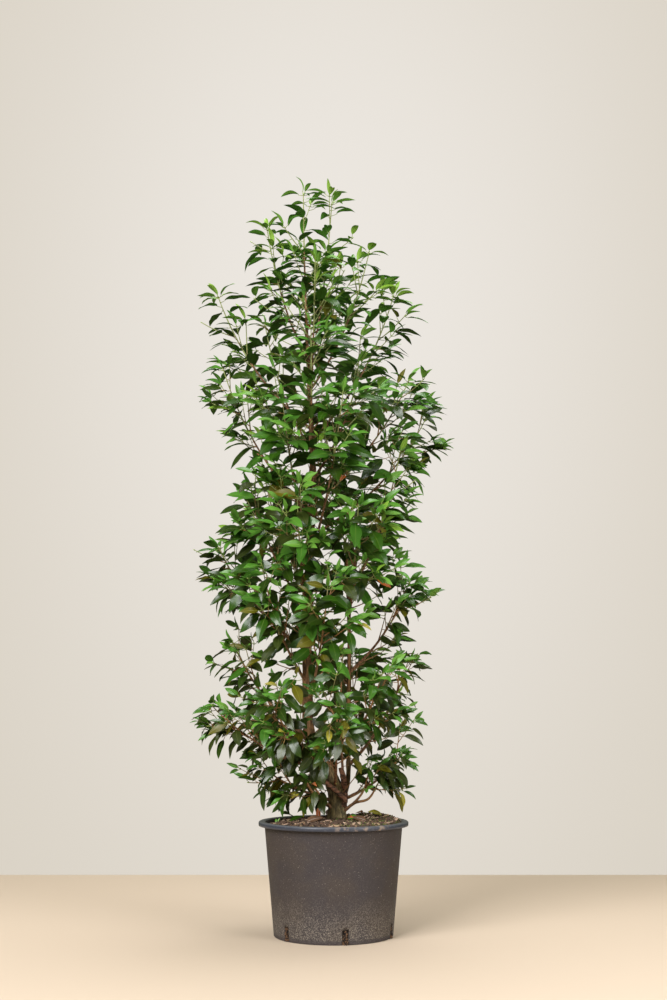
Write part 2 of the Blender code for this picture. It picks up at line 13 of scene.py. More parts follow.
import bpy
import numpy as np
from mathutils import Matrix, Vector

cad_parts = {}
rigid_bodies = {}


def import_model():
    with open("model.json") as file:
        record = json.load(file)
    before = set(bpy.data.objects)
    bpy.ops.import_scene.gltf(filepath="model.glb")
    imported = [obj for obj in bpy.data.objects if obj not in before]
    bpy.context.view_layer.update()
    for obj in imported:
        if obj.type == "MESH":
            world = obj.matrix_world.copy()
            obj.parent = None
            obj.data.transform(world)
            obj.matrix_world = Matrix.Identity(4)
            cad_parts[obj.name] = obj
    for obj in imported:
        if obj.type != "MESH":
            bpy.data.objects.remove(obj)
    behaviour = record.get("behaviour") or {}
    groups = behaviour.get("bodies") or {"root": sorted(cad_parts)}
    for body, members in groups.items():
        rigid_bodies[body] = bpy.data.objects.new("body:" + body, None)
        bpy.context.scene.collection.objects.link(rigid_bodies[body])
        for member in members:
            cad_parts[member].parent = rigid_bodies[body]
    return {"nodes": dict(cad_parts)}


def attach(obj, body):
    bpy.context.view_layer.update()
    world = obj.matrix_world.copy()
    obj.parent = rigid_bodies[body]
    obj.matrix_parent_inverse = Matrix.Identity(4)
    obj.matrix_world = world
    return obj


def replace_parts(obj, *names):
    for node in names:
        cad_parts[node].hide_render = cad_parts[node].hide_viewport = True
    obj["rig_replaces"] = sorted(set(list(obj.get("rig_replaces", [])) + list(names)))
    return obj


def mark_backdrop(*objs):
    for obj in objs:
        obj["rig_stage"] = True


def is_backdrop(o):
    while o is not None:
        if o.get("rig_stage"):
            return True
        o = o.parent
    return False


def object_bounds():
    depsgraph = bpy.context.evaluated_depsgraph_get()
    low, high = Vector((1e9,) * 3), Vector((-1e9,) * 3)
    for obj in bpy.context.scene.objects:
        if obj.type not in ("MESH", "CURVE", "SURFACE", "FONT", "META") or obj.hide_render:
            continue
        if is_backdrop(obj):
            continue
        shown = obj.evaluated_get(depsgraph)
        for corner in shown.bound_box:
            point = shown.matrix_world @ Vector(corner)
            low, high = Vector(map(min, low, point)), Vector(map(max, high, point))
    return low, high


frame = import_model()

cad_low, cad_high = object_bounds()
FOLIAGE_NODES = sorted(name for name in frame["nodes"] if name.startswith("foliage_"))
BOUGH_NODES = sorted(name for name in frame["nodes"] if name.startswith("bough_"))
print(f"{len(frame['nodes'])} nodes, {cad_high.z:.3f} m tall, {cad_high.x - cad_low.x:.3f} m wide")

# %% [markdown]
# ## The studio
#
# Pale seamless ground, large soft lamps, and a camera at knee height that looks up by eight
# degrees. The backdrop is a dome that glows without lighting anything.

# %% Camera, floor and lights
CAMERA_DISTANCE = 3.795
CAMERA_HEIGHT = 0.621
CAMERA_PITCH = math.radians(8.108)
CAMERA_LENS = 50.0
FLOOR_HALF_SIDE = 1.265
DOME_RADIUS = 14.0
BACKDROP = (0.840, 0.800, 0.745)
BACKDROP_EDGE = (0.700, 0.646, 0.560)
# middle of the glow on the dome, its height squeezed, and how far it reaches
GLOW_MIDDLE = (0.0, 12.97, 2.7)
GLOW_SQUEEZE = 0.50
GLOW_REACH = (0.3, 6.0)
AMBIENT = (0.84, 0.84, 0.46)
AMBIENT_STRENGTH = 0.185
FLOOR_COLOUR = (0.70, 0.565, 0.445)
# name: place, side of the square lamp, watts
LAMPS = {
    "key_lamp": ((-2.66, -4.06, 3.34), 3.1, 400.0),
    "fill_lamp": ((2.7, -2.5, 1.6), 1.8, 90.0),
    "top_lamp": ((0.3, 0.6, 4.3), 2.2, 95.0),
}
LAMP_AIM = (0.0, 0.0, 1.1)

scene = bpy.context.scene
scene.view_settings.view_transform = "Standard"

camera_data = bpy.data.cameras.new("studio_camera")
camera_data.lens = CAMERA_LENS
camera = bpy.data.objects.new("studio_camera", camera_data)
camera.location = (0.0, -CAMERA_DISTANCE, CAMERA_HEIGHT)
camera.rotation_euler = (math.pi / 2 + CAMERA_PITCH, 0.0, 0.0)
scene.collection.objects.link(camera)
scene.camera = camera

world = bpy.data.worlds.new("backdrop")
world.use_nodes = True
world.node_tree.nodes["Background"].inputs["Color"].default_value = (*AMBIENT, 1.0)
world.node_tree.nodes["Background"].inputs["Strength"].default_value = AMBIENT_STRENGTH
scene.world = world

for name, (place, side, watts) in LAMPS.items():
    lamp_data = bpy.data.lights.new(name, "AREA")
    lamp_data.size = side
    lamp_data.energy = watts
    lamp = bpy.data.objects.new(name, lamp_data)
    lamp.location = place
    aim = np.subtract(LAMP_AIM, place)
    lamp.rotation_euler = (
        math.atan2(math.hypot(aim[0], aim[1]), -aim[2]),
        0.0,
        math.atan2(aim[1], aim[0]) - math.pi / 2,
    )
    scene.collection.objects.link(lamp)

bpy.ops.mesh.primitive_plane_add(size=2 * FLOOR_HALF_SIDE)
floor = bpy.context.object
floor.name = "studio_floor"
bpy.ops.mesh.primitive_uv_sphere_add(segments=64, ring_count=32, radius=DOME_RADIUS)
dome = bpy.context.object
dome.name = "studio_backdrop"
dome.visible_diffuse = False
dome.visible_glossy = False
dome.visible_shadow = False
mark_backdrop(floor, dome)
print(f"camera {CAMERA_DISTANCE} m away, {len(LAMPS)} lamps")

# %% [markdown]
# ## Writing finishes as sums
#
# A mask such as "specks, denser towards the foot" reads best as arithmetic. `Wire` stands for one
# output socket, and each operator on it adds one Math node. `Finish` holds one material.

# %% Two small classes for materials
def operator(kind, reflected=False):
    """A method of `Wire` that adds one Math node, with the wire second if it is reflected."""
    def method(wire, other):
        values = (other, wire) if reflected else (wire, other)
        return wire.finish.node("ShaderNodeMath", {"operation": kind}, dict(enumerate(values)))
    return method


class Wire:
    """One output socket. Arithmetic on it adds Math nodes to its finish."""

    def __init__(self, finish, socket):
        self.finish = finish
        self.socket = socket

    __add__, __radd__ = operator("ADD"), operator("ADD", True)
    __sub__, __rsub__ = operator("SUBTRACT"), operator("SUBTRACT", True)
    __mul__, __rmul__ = operator("MULTIPLY"), operator("MULTIPLY", True)
    __lt__ = operator("LESS_THAN")


class Finish:
    """A material in the making, with its Principled shader's constant sockets already set."""

    def __init__(self, name, colour, roughness, **constants):
        self.material = bpy.data.materials.new(name)
        self.material.use_nodes = True
        self.tree = self.material.node_tree
        self.shader = self.tree.nodes["Principled BSDF"]
        self.shader.inputs["Base Color"].default_value = (*colour, 1.0)
        self.shader.inputs["Roughness"].default_value = roughness
        for socket, value in constants.items():
            self.shader.inputs[socket.replace("_", " ")].default_value = value

    def node(self, kind, settings=None, inputs=None, output=0):
        """Adds a node: its settings first, then a value or a wire for each socket named."""
        made = self.tree.nodes.new(kind)
        for name, value in (settings or {}).items():
            setattr(made, name, value)
        for key, value in (inputs or {}).items():
            if isinstance(value, Wire):
                self.tree.links.new(value.socket, made.inputs[key])
            else:
                made.inputs[key].default_value = value
        return Wire(self, made.outputs[output])

    def place(self, stretch=(1.0, 1.0, 1.0)):
        """Object coordinates in metres, squeezed along each axis by `stretch`."""
        where = self.node("ShaderNodeTexCoord", output="Object")
        return self.node("ShaderNodeMapping", inputs={"Vector": where, "Scale": stretch})

    def axis(self, name="Z"):
        """One object coordinate in metres, the height unless another is named."""
        where = self.node("ShaderNodeTexCoord", output="Object")
        return self.node("ShaderNodeSeparateXYZ", inputs={0: where}, output=name)

    def noise(self, size, detail=2.0, stretch=(1.0, 1.0, 1.0)):
        """Cloudy noise from 0 to 1 whose blotches are about `size` metres across."""
        inputs = {"Vector": self.place(stretch), "Scale": 1.0 / size, "Detail": detail}
        return self.node("ShaderNodeTexNoise", inputs=inputs)

    def dots(self, size, share):
        """Round dots: 1 within `share` of each cell's middle, in cells `size` metres wide."""
        inputs = {"Vector": self.place(), "Scale": 1.0 / size}
        return self.node("ShaderNodeTexVoronoi", inputs=inputs, output="Distance") < share

    def step(self, value, low, high):
        """A smooth step: 0 below `low`, 1 above `high`."""
        settings = {"interpolation_type": "SMOOTHSTEP"}
        inputs = {"Value": value, "From Min": low, "From Max": high}
        return self.node("ShaderNodeMapRange", settings, inputs)

    def mix(self, mask, first, second):
        """Colour `first` where the mask is 0 and `second` where it is 1."""
        colours = [value if isinstance(value, Wire) else (*value, 1.0) for value in (first, second)]
        settings = {"data_type": "RGBA"}
        return self.node("ShaderNodeMix", settings, {0: mask, 6: colours[0], 7: colours[1]}, output=2)

    def bump(self, height, distance, strength):
        inputs = {"Height": height, "Distance": distance, "Strength": strength}
        self.drive("Normal", self.node("ShaderNodeBump", inputs=inputs))

    def drive(self, socket, wire):
        self.tree.links.new(wire.socket, self.shader.inputs[socket])


def dome_finish():
    """A glow that fades with the distance from its middle, squeezed so that it reaches further down."""
    finish = Finish("studio_backdrop", (0.0, 0.0, 0.0), 1.0, Emission_Strength=1.0, Specular_IOR_Level=0.0)
    where = {0: finish.place((1.0, 1.0, GLOW_SQUEEZE)), 1: GLOW_MIDDLE}
    distance = finish.node("ShaderNodeVectorMath", {"operation": "DISTANCE"}, where, output="Value")
    finish.drive("Emission Color", finish.mix(finish.step(distance, *GLOW_REACH), BACKDROP, BACKDROP_EDGE))
    return finish


floor.data.materials.append(Finish("studio_floor", FLOOR_COLOUR, 0.7).material)
dome.data.materials.append(dome_finish().material)
print("floor and backdrop have their finishes")

# %% [markdown]
# ## Meshes from whole arrays
#
# Every vertex of a kind is worked out at once in numpy. `make_piece` hands Blender the finished
# arrays, and rides the new piece on the plant's one body.

# %% Pieces, grids and directions
PIECE_LIMIT = 200_000
UP = np.array((0.0, 0.0, 1.0))
FRONT_LIGHT = np.array((0.0, -1.0, 0.0))


def make_piece(name, places, faces, finishes, replaces, face_finish=None, smooth=True):
    """One joined mesh from an array of places and a list of face arrays of 3 or 4 corners."""
    mesh = bpy.data.meshes.new(name)
    corners = np.concatenate([block.ravel() for block in faces])
    sizes = np.concatenate([np.full(len(block), block.shape[1]) for block in faces])
    mesh.vertices.add(len(places))
    mesh.vertices.foreach_set("co", np.asarray(places, np.float32).ravel())
    mesh.loops.add(len(corners))
    mesh.loops.foreach_set("vertex_index", corners.astype(np.int32))
    mesh.polygons.add(len(sizes))
    mesh.polygons.foreach_set("loop_start", (np.cumsum(sizes) - sizes).astype(np.int32))
    mesh.polygons.foreach_set("use_smooth", np.full(len(sizes), smooth))
    for finish in finishes:
        mesh.materials.append(finish.material)
    if face_finish is not None:
        mesh.polygons.foreach_set("material_index", np.asarray(face_finish, np.int32))
    mesh.update(calc_edges=True)
    piece = bpy.data.objects.new(name, mesh)
    scene.collection.objects.link(piece)
    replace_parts(piece, *replaces)
    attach(piece, "root")
    triangles = int((sizes - 2).sum())
    print(f"{name}: {triangles} triangles")
    if triangles > PIECE_LIMIT:
        raise ValueError(f"{name} is too large")
    return piece


def grid_faces(rows, columns, closed=False):
    """Quads of a grid of places, row by row; `closed` joins the last column to the first."""
    row, column = np.meshgrid(np.arange(rows - 1), np.arange(columns - (not closed)), indexing="ij")
    after = (column + 1) % columns
    quads = [row * columns + column, row * columns + after]
    quads += [(row + 1) * columns + after, (row + 1) * columns + column]
    return np.stack(quads, -1).reshape(-1, 4)


def repeated(faces, count, step):
    """The same faces for `count` copies whose vertices follow each other `step` apart."""
    return (faces[None] + step * np.arange(count)[:, None, None]).reshape(-1, faces.shape[1])


def unit(vectors):
    return vectors / np.linalg.norm(vectors, axis=-1, keepdims=True)


def side_axes(directions):
    """Two unit vectors square to each direction, the first of them level."""
    level = unit(np.cross(directions, UP) + (1e-9, 0.0, 0.0))
    return level, np.cross(level, directions)


def swing(angle, first, second):
    """cos(angle) * first + sin(angle) * second, with an angle for each row."""
    return np.cos(angle)[:, None] * first + np.sin(angle)[:, None] * second


def circle(count):
    """Even angles round a circle, and the level unit vector at each."""
    angles = np.linspace(0, 2 * math.pi, count, endpoint=False)
    return angles, np.stack([np.cos(angles), np.sin(angles), np.zeros(count)], 1)


def fan(middle, first, second):
    """Triangles from the place `middle` to pairs of places on a rim."""
    return np.stack([np.full(len(first), middle), first, second], 1)


def lattice_noise(places, size, seed):
    """Smooth noise from 0 to 1: random numbers at the corners of a lattice, eased in between."""
    table = np.random.default_rng(seed).random(4096)
    cell = np.asarray(places) / size
    low = np.floor(cell).astype(np.int64)
    share = cell - low
    share = share * share * (3 - 2 * share)
    total = np.zeros(cell.shape[:-1])
    for corner in np.ndindex(2, 2, 2):
        at = low + corner
        key = (at[..., 0] * 73856093 ^ at[..., 1] * 19349663 ^ at[..., 2] * 83492791) % len(table)
        total += table[key] * np.where(corner, share, 1 - share).prod(-1)
    return total


print("helpers are ready")

# %% [markdown]
# ## The pot
#
# A nursery pot is one thin moulding that turns over at the top into a stiff lip. Only one skin is
# modelled, from the floor up the outside and over the lip, and Solidify gives it its wall. Its
# columns are set on the edges of the notches, so that a notch is just the quads left out.

# %% Sizes of the pot
POT_HEIGHT = 0.296
POT_RIM_RADIUS = 0.200
POT_FOOT_RADIUS = 0.158
POT_WALL = 0.003
RIM_OVERHANG = 0.0155
RIM_DEPTH = 0.011
SLOT_COUNT = 6
SLOT_WIDTH = 0.016
SLOT_HEIGHT = 0.038
SLOT_INNER_RADIUS = 0.150
SLOT_FIRST_ANGLE = math.radians(-79.0)
SLOT_COLUMNS = 4
WALL_COLUMNS = 40
TOP_RADIUS = POT_RIM_RADIUS - RIM_OVERHANG


def arc(centre, radius, start, end, steps):
    """Places on a circular arc in the (radius, height) plane, by angle from start to end."""
    angles = np.radians(np.linspace(start, end, steps))
    return np.stack([centre[0] + radius * np.cos(angles), centre[1] + radius * np.sin(angles)], 1)


def pot_angles():
    """Column angles of the pot, with the edges of every notch among them."""
    sector = 2 * math.pi / SLOT_COUNT
    half = math.asin(SLOT_WIDTH / 2 / POT_FOOT_RADIUS)
    across = np.linspace(-half, half, SLOT_COLUMNS + 1)[:-1]
    between = np.linspace(half, sector - half, WALL_COLUMNS + 1)[:-1]
    starts = SLOT_FIRST_ANGLE + sector * np.arange(SLOT_COUNT)
    return (starts[:, None] + np.concatenate([across, between])).ravel()


def pot_profile():
    """The skin's (radius, height) points, from the floor's middle to the foot of the skirt."""
    foot_round, fold = 0.0035, 0.0015
    wall_low = np.array((POT_FOOT_RADIUS, 0.004))
    wall_top = np.array((TOP_RADIUS, POT_HEIGHT - POT_WALL - fold))
    slot_share = (SLOT_HEIGHT - wall_low[1]) / (wall_top[1] - wall_low[1])
    shares = np.concatenate([np.linspace(0, slot_share, 5), np.linspace(slot_share, 1, 26)[1:]])
    ring_out = POT_RIM_RADIUS - POT_WALL
    return np.vstack([
        [(0.0, 0.0), (0.06, 0.0), (0.12, 0.0), (SLOT_INNER_RADIUS, 0.0)],
        arc((POT_FOOT_RADIUS - foot_round, foot_round), foot_round, -90, -8, 5),
        wall_low + shares[:, None] * (wall_top - wall_low),
        arc((TOP_RADIUS + fold, wall_top[1]), fold, 180, 90, 4)[1:],
        arc((ring_out - fold, wall_top[1]), fold, 90, 0, 5),
        [(ring_out, POT_HEIGHT - RIM_DEPTH * 0.6), (ring_out - 0.0004, POT_HEIGHT - RIM_DEPTH)],
    ])


# %% [markdown]
# ## Plastic that has stood outdoors
#
# Recycled black plastic is clouded with brown, flecked, and splashed with dried dust near the
# ground. Each of these is a mask between 0 and 1 that mixes in one more colour.

# %% Finish of the pot
POT_PLASTIC = (0.034, 0.027, 0.030)
POT_WARM = (0.056, 0.041, 0.032)
# the lip's bluer tone is painted sheen on the dark plastic, and its paler top band is a painted highlight
LIP_PLASTIC_AND_SHEEN = (0.036, 0.041, 0.060)
LIP_TOP_HIGHLIGHT = (0.115, 0.120, 0.140)
DUST = (0.46, 0.40, 0.32)
DRIED_MUD = (0.42, 0.31, 0.23)


def pot_body_finish():
    """Matt recycled plastic: warm clouds, a few pale specks, and a ragged dusty band near the foot."""
    finish = Finish("pot_plastic", POT_PLASTIC, 0.55, Specular_IOR_Level=0.4)
    height = finish.axis()
    cloud = finish.noise(0.09, 3.0)
    body = finish.mix(finish.step(cloud, 0.35, 0.7) * 0.6, POT_PLASTIC, POT_WARM)
    ragged = height + 0.08 * (finish.noise(0.050, 5.0) - 0.5)
    band = 1 - finish.step(ragged, 0.010, 0.125)
    film = finish.step(finish.noise(0.0030, 2.0), 0.42, 0.70) * (0.12 + band)
    body = finish.mix(film * 0.30, body, DUST)
    uneven = 0.22 * finish.noise(0.012, 1.0)
    specks = 0.80 * finish.dots(0.0062, 0.9 * uneven) + finish.dots(0.0038, 0.08 + uneven) * band
    body = finish.mix(finish.step(specks, 0.0, 1.0) * 0.55, body, DUST)
    foot = 1 - finish.step(height, 0.008, 0.013)
    finish.drive("Base Color", finish.mix(foot * 0.75, body, POT_PLASTIC))
    finish.drive("Roughness", 0.52 + 0.22 * finish.step(cloud, 0.3, 0.7))
    finish.bump(finish.noise(0.0012, 3.0), 0.0002, 0.5)
    return finish


def pot_lip_finish():
    """The handled lip: smoother, dark plastic made bluer by painted sheen, with a painted highlight along
    its top, scuffed pale, and with mud dried on at the front right.
    """
    finish = Finish("pot_lip", LIP_PLASTIC_AND_SHEEN, 0.38, Specular_IOR_Level=0.5)
    sideways, depth = finish.axis("X"), finish.axis("Y")
    scuffs = finish.step(finish.noise(0.008, 5.0, (1.0, 1.0, 2.5)), 0.55, 0.72) * 0.30
    # a paler band along the top of the lip: painted highlight
    lip = finish.mix(finish.step(finish.axis(), 0.2925, 0.2956), LIP_PLASTIC_AND_SHEEN, LIP_TOP_HIGHLIGHT)
    lip = finish.mix(scuffs, lip, (0.22, 0.22, 0.23))
    zone = finish.step(sideways, -0.005, 0.02) * (1 - finish.step(sideways, 0.12, 0.15))
    zone = zone * (1 - finish.step(depth, -0.12, -0.08))
    mud = finish.step(finish.noise(0.018, 4.0), 0.50, 0.62) * zone
    finish.drive("Base Color", finish.mix(mud * 0.60, lip, DRIED_MUD))
    finish.drive("Roughness", 0.36 + 0.4 * mud + 0.3 * scuffs)
    finish.bump(finish.noise(0.004, 3.0) + mud * 0.6, 0.0004, 0.5)
    return finish


# %% [markdown]
# ## Turning the profile
#
# The profile is turned round the Z axis as a grid without the quads of the notches, and a fan
# closes the middle of the floor.

# %% The pot as one solidified skin
def build_pot():
    """Each place is (radius * cos, radius * sin, height) for a profile point and a column angle."""
    profile, angles = pot_profile(), pot_angles()
    ring = np.stack([np.cos(angles), np.sin(angles)], 1)
    places = np.empty((len(profile) - 1, len(angles), 3))
    places[..., :2] = profile[1:, :1, None] * ring
    places[..., 2] = profile[1:, 1:]
    rows, columns = places.shape[:2]
    quads = grid_faces(rows, columns, closed=True)
    row, column = np.divmod(quads[:, 0], columns)
    radius, height = profile[1:][row].T
    in_slot = column % (SLOT_COLUMNS + WALL_COLUMNS) < SLOT_COLUMNS
    in_slot &= (radius > SLOT_INNER_RADIUS - 1e-6) & (height < SLOT_HEIGHT - 1e-6)
    quads = quads[~in_slot]
    around = np.arange(columns)
    floor_fan = fan(rows * columns, (around + 1) % columns, around)
    lip_row = int(np.argmax(profile[:, 1] > POT_HEIGHT - POT_WALL - 0.0014)) - 1
    is_lip = np.concatenate([quads[:, 0] // columns >= lip_row, np.zeros(columns, bool)])
    pot = make_piece(
        "pot_shell",
        np.vstack([places.reshape(-1, 3), (0.0, 0.0, 0.0)]),
        [quads, floor_fan],
        [pot_body_finish(), pot_lip_finish()],
        ["pot"],
        is_lip,
    )
    wall = pot.modifiers.new("wall", "SOLIDIFY")
    wall.thickness = POT_WALL
    wall.offset = -1.0
    wall.use_even_offset = True
    return pot


pot_shell = build_pot()
print("the pot's box goes up to", round(max(corner[2] for corner in pot_shell.bound_box), 4))

# %% [markdown]
# ## The compost
#
# The fill is one closed body: a disc of rings whose height is a formula plus noise, then a wall
# and a floor. The loose stuff on top is thousands of small joined lumps and chips.

# %% The bed of compost
SOIL_TOP = 0.300
BED_RINGS = 76
BED_COLUMNS = 200
BED_FLOOR = 0.0035
BED_GAP = 0.0006
WALL_SLOPE = (TOP_RADIUS - POT_FOOT_RADIUS) / (POT_HEIGHT - 2 * POT_WALL)
SOIL_LEVEL = 0.2975
EDGE_DIP = 0.013
HEAP_HEIGHT = 0.0085
MOUND_HEIGHT = 0.004
LUMP_HEIGHT = 0.0060
GRIT_HEIGHT = 0.0032
MEAN_LUMP = 0.0046


def wall_radius(height):
    """Inner radius of the pot's wall at a height, less a hair."""
    return POT_FOOT_RADIUS - POT_WALL + WALL_SLOPE * (height - POT_WALL) - BED_GAP


def soil_height(x, y):
    """A mound at the trunk, lower at the back left and heaped at the back right, with lumps."""
    radius = np.hypot(x, y)
    edge = np.clip((radius - 0.07) / 0.11, 0, 1) ** 1.5
    low_side = np.clip(-0.8 * x + 0.35 * y, -0.03, 0.2) / 0.16
    heap = np.exp(-(((x - 0.115) / 0.065) ** 2) - ((y - 0.075) / 0.085) ** 2)
    height = SOIL_LEVEL - EDGE_DIP * edge * (0.35 + low_side) + HEAP_HEIGHT * heap
    height += MOUND_HEIGHT * np.exp(-((radius / 0.05) ** 2))
    spot = np.stack([x, y, np.zeros_like(x)], -1)
    lumps = LUMP_HEIGHT * lattice_noise(spot, 0.016, 5) + GRIT_HEIGHT * lattice_noise(spot, 0.0055, 6)
    return height + (lumps - MEAN_LUMP)


def build_bed():
    """Rings of places out to the wall, then straight down it, closed by a middle point each side."""
    angles = circle(BED_COLUMNS)[0]
    shares = np.linspace(0, 1, BED_RINGS + 1)[1:, None]
    edge_radius = wall_radius(0.288)
    x, y = shares * edge_radius * np.cos(angles), shares * edge_radius * np.sin(angles)
    top = np.stack([x, y, soil_height(x, y)], -1)
    top[-1, :, 2] = np.minimum(top[-1, :, 2], 0.292)
    heights = np.array((0.20, 0.10, BED_FLOOR))[:, None]
    radii = wall_radius(heights)
    sides = np.stack(np.broadcast_arrays(radii * np.cos(angles), radii * np.sin(angles), heights), -1)
    places = np.vstack([top.reshape(-1, 3), sides.reshape(-1, 3)])
    around = np.arange(BED_COLUMNS)
    after = (around + 1) % BED_COLUMNS
    count = len(places)
    last = count - BED_COLUMNS
    quads = grid_faces(BED_RINGS + 3, BED_COLUMNS, closed=True)[:, ::-1]
    fans = [fan(count, around, after), fan(count + 1, last + after, last + around)]
    middle = np.zeros(1)
    ends = [(0.0, 0.0, float(soil_height(middle, middle)[0])), (0.0, 0.0, BED_FLOOR)]
    places = np.vstack([places, ends])
    make_piece("compost_bed", places, [quads, *fans], [compost_finish()], ["compost"])


def compost_finish():
    """Dark peat with reddish and grey-brown crumbs, and moss at the right; below 0.24 m, deep in the pot,
    it is painted near black as shade.
    """
    finish = Finish("compost", (0.050, 0.030, 0.020), 0.95)
    crumbs = finish.noise(0.0035, 4.0)
    body = finish.mix(finish.step(crumbs, 0.44, 0.64), (0.006, 0.004, 0.003), (0.200, 0.116, 0.070))
    pale = finish.step(finish.noise(0.0022, 3.0), 0.60, 0.70) * finish.step(finish.noise(0.012), 0.4, 0.6)
    body = finish.mix(pale * 0.6, body, (0.30, 0.20, 0.13))
    # painted shade: the compost's sides deep inside the pot, seen only through the notches, go near black
    body = finish.mix(finish.step(finish.axis(), 0.24, 0.27), (0.012, 0.008, 0.006), body)
    moss = finish.step(finish.axis("X"), 0.03, 0.10) * finish.step(finish.noise(0.011, 3.0), 0.42, 0.62)
    finish.drive("Base Color", finish.mix(moss * 0.7, body, (0.062, 0.070, 0.020)))
    finish.bump(crumbs, 0.0012, 0.8)
    return finish


build_bed()

# %% [markdown]
# ## Loose bits on the compost
#
# A chip starts as a cube of eight corners. One array holds the corners of all the chips: stretched
# to each one's size, nudged, turned by its own axes and dropped on the soil under it.

# %% Chips, crumbs, straw and moss
CUBE_CORNERS = np.array([(x, y, z) for z in (-1, 1) for y in (-1, 1) for x in (-1, 1)], float)
CUBE_FACES = np.array([(0, 2, 3, 1), (4, 5, 7, 6), (0, 1, 5, 4), (2, 6, 7, 3), (0, 4, 6, 2), (1, 3, 7, 5)])
# name: colour, how many, length, width, thickness, tilt, sink, whether only in the mossy patches
SCATTER = {
    "peat_crumbs": ((0.034, 0.020, 0.013), 1900, 0.0042, 0.0032, 0.0026, 1.2, 0.3, False),
    "red_crumbs": ((0.310, 0.160, 0.094), 1100, 0.0042, 0.0030, 0.0022, 1.2, 0.3, False),
    "dark_chips": ((0.060, 0.040, 0.030), 260, 0.0130, 0.0045, 0.0022, 0.45, 0.2, False),
    "tan_chips": ((0.450, 0.310, 0.190), 190, 0.0150, 0.0070, 0.0020, 0.45, 0.0, False),
    "pink_chips": ((0.580, 0.400, 0.290), 90, 0.0230, 0.0115, 0.0026, 0.40, -0.1, False),
    "clods": ((0.085, 0.050, 0.032), 300, 0.0125, 0.0100, 0.0078, 0.9, 0.4, False),
    "straw_bits": ((0.450, 0.340, 0.180), 120, 0.0200, 0.0014, 0.0012, 0.30, -0.6, False),
    "twig_bits": ((0.120, 0.070, 0.045), 90, 0.0260, 0.0015, 0.0014, 0.30, -0.5, False),
    "moss_tufts": ((0.105, 0.130, 0.030), 1900, 0.0050, 0.0022, 0.0030, 1.4, -0.2, True),
}
BITS_SEED = 11
BITS_RADII = (0.030, 0.176)
BIT_SIZES = (0.55, 1.35)
SLOT_SEED = 90
SLOT_CRUMBS = 90
SLOT_CRUMB = (0.0058, 0.0036, 0.0028)
SLOT_CRUMB_SIZES = (0.5, 1.2)
SLOT_CRUMB_COLOURS = ((0.018, 0.011, 0.008), (0.150, 0.080, 0.042))


def scatter_places(rng, count, mossy):
    """Random spots on the soil, evenly spread between the trunk's foot and the wall."""
    inner, outer = BITS_RADII
    radius = np.sqrt(rng.uniform(inner**2, outer**2, count))
    angle = rng.uniform(0, 2 * math.pi, count)
    x, y = radius * np.cos(angle), radius * np.sin(angle)
    spots = np.stack([x, y, soil_height(x, y)], 1)
    patch = lattice_noise(spots, 0.020, 8) + np.clip(x / 0.10, -0.6, 0.35)
    return spots[patch > 0.62] if mossy else spots


def slot_places(rng):
    """Random spots in and before every drainage slot, denser towards the ground."""
    slot = np.repeat(np.arange(SLOT_COUNT), SLOT_CRUMBS)
    angle = SLOT_FIRST_ANGLE + slot * 2 * math.pi / SLOT_COUNT
    angle = angle + rng.uniform(-0.42, 0.42, len(slot)) * SLOT_WIDTH / POT_FOOT_RADIUS
    height = (SLOT_HEIGHT - 0.003) * rng.uniform(0.05, 1.0, len(slot)) ** 1.6
    radius = wall_radius(height) + rng.uniform(-0.001, 0.0060, len(slot)) * (1.1 - height / SLOT_HEIGHT)
    return np.stack([radius * np.cos(angle), radius * np.sin(angle), np.maximum(height, 0.003)], 1)


def nudged_blocks(rng, spots, size, spread, tilt, sink):
    """Corners of a block at each spot: spot + corner x * along + corner y * across + corner z * above."""
    count = len(spots)
    heading = rng.uniform(0, 2 * math.pi, count)
    rise = rng.uniform(-tilt, tilt, count)
    along = np.stack([np.cos(heading) * np.cos(rise), np.sin(heading) * np.cos(rise), np.sin(rise)], 1)
    level, upper = side_axes(along)
    above = swing(rng.uniform(-tilt, tilt, count), upper, level)
    sizes = np.array(size) / 2 * rng.uniform(*spread, (count, 3))
    corners = CUBE_CORNERS * sizes[:, None] * rng.uniform(0.55, 1.0, (count, 8, 3))
    spots = spots + (0.5 - sink) * sizes[:, 2:] * UP
    return spots[:, None] + corners @ np.stack([along, np.cross(above, along), above], 1)


def block_piece(name, colour, corners):
    faces = [repeated(CUBE_FACES, len(corners), 8)]
    finishes = [Finish(name, colour, 0.9)]
    make_piece(name, corners.reshape(-1, 3), faces, finishes, ["compost"], smooth=False)


for seed, (name, (colour, count, *size, tilt, sink, mossy)) in enumerate(SCATTER.items()):
    rng = np.random.default_rng([BITS_SEED, seed])
    spots = scatter_places(rng, count, mossy)
    block_piece(name, colour, nudged_blocks(rng, spots, size, BIT_SIZES, tilt, sink))

rng = np.random.default_rng([BITS_SEED, SLOT_SEED])
crumbs = nudged_blocks(rng, slot_places(rng), SLOT_CRUMB, SLOT_CRUMB_SIZES, 1.4, 0.5)
for part, colour in enumerate(SLOT_CRUMB_COLOURS):
    block_piece(f"slot_crumbs_{part}", colour, crumbs[part::2])

# %% [markdown]
# ## The plant's measurements
#
# These are the same driving sizes as the model's. Heights are above the ground, and the front
# faces -Y.

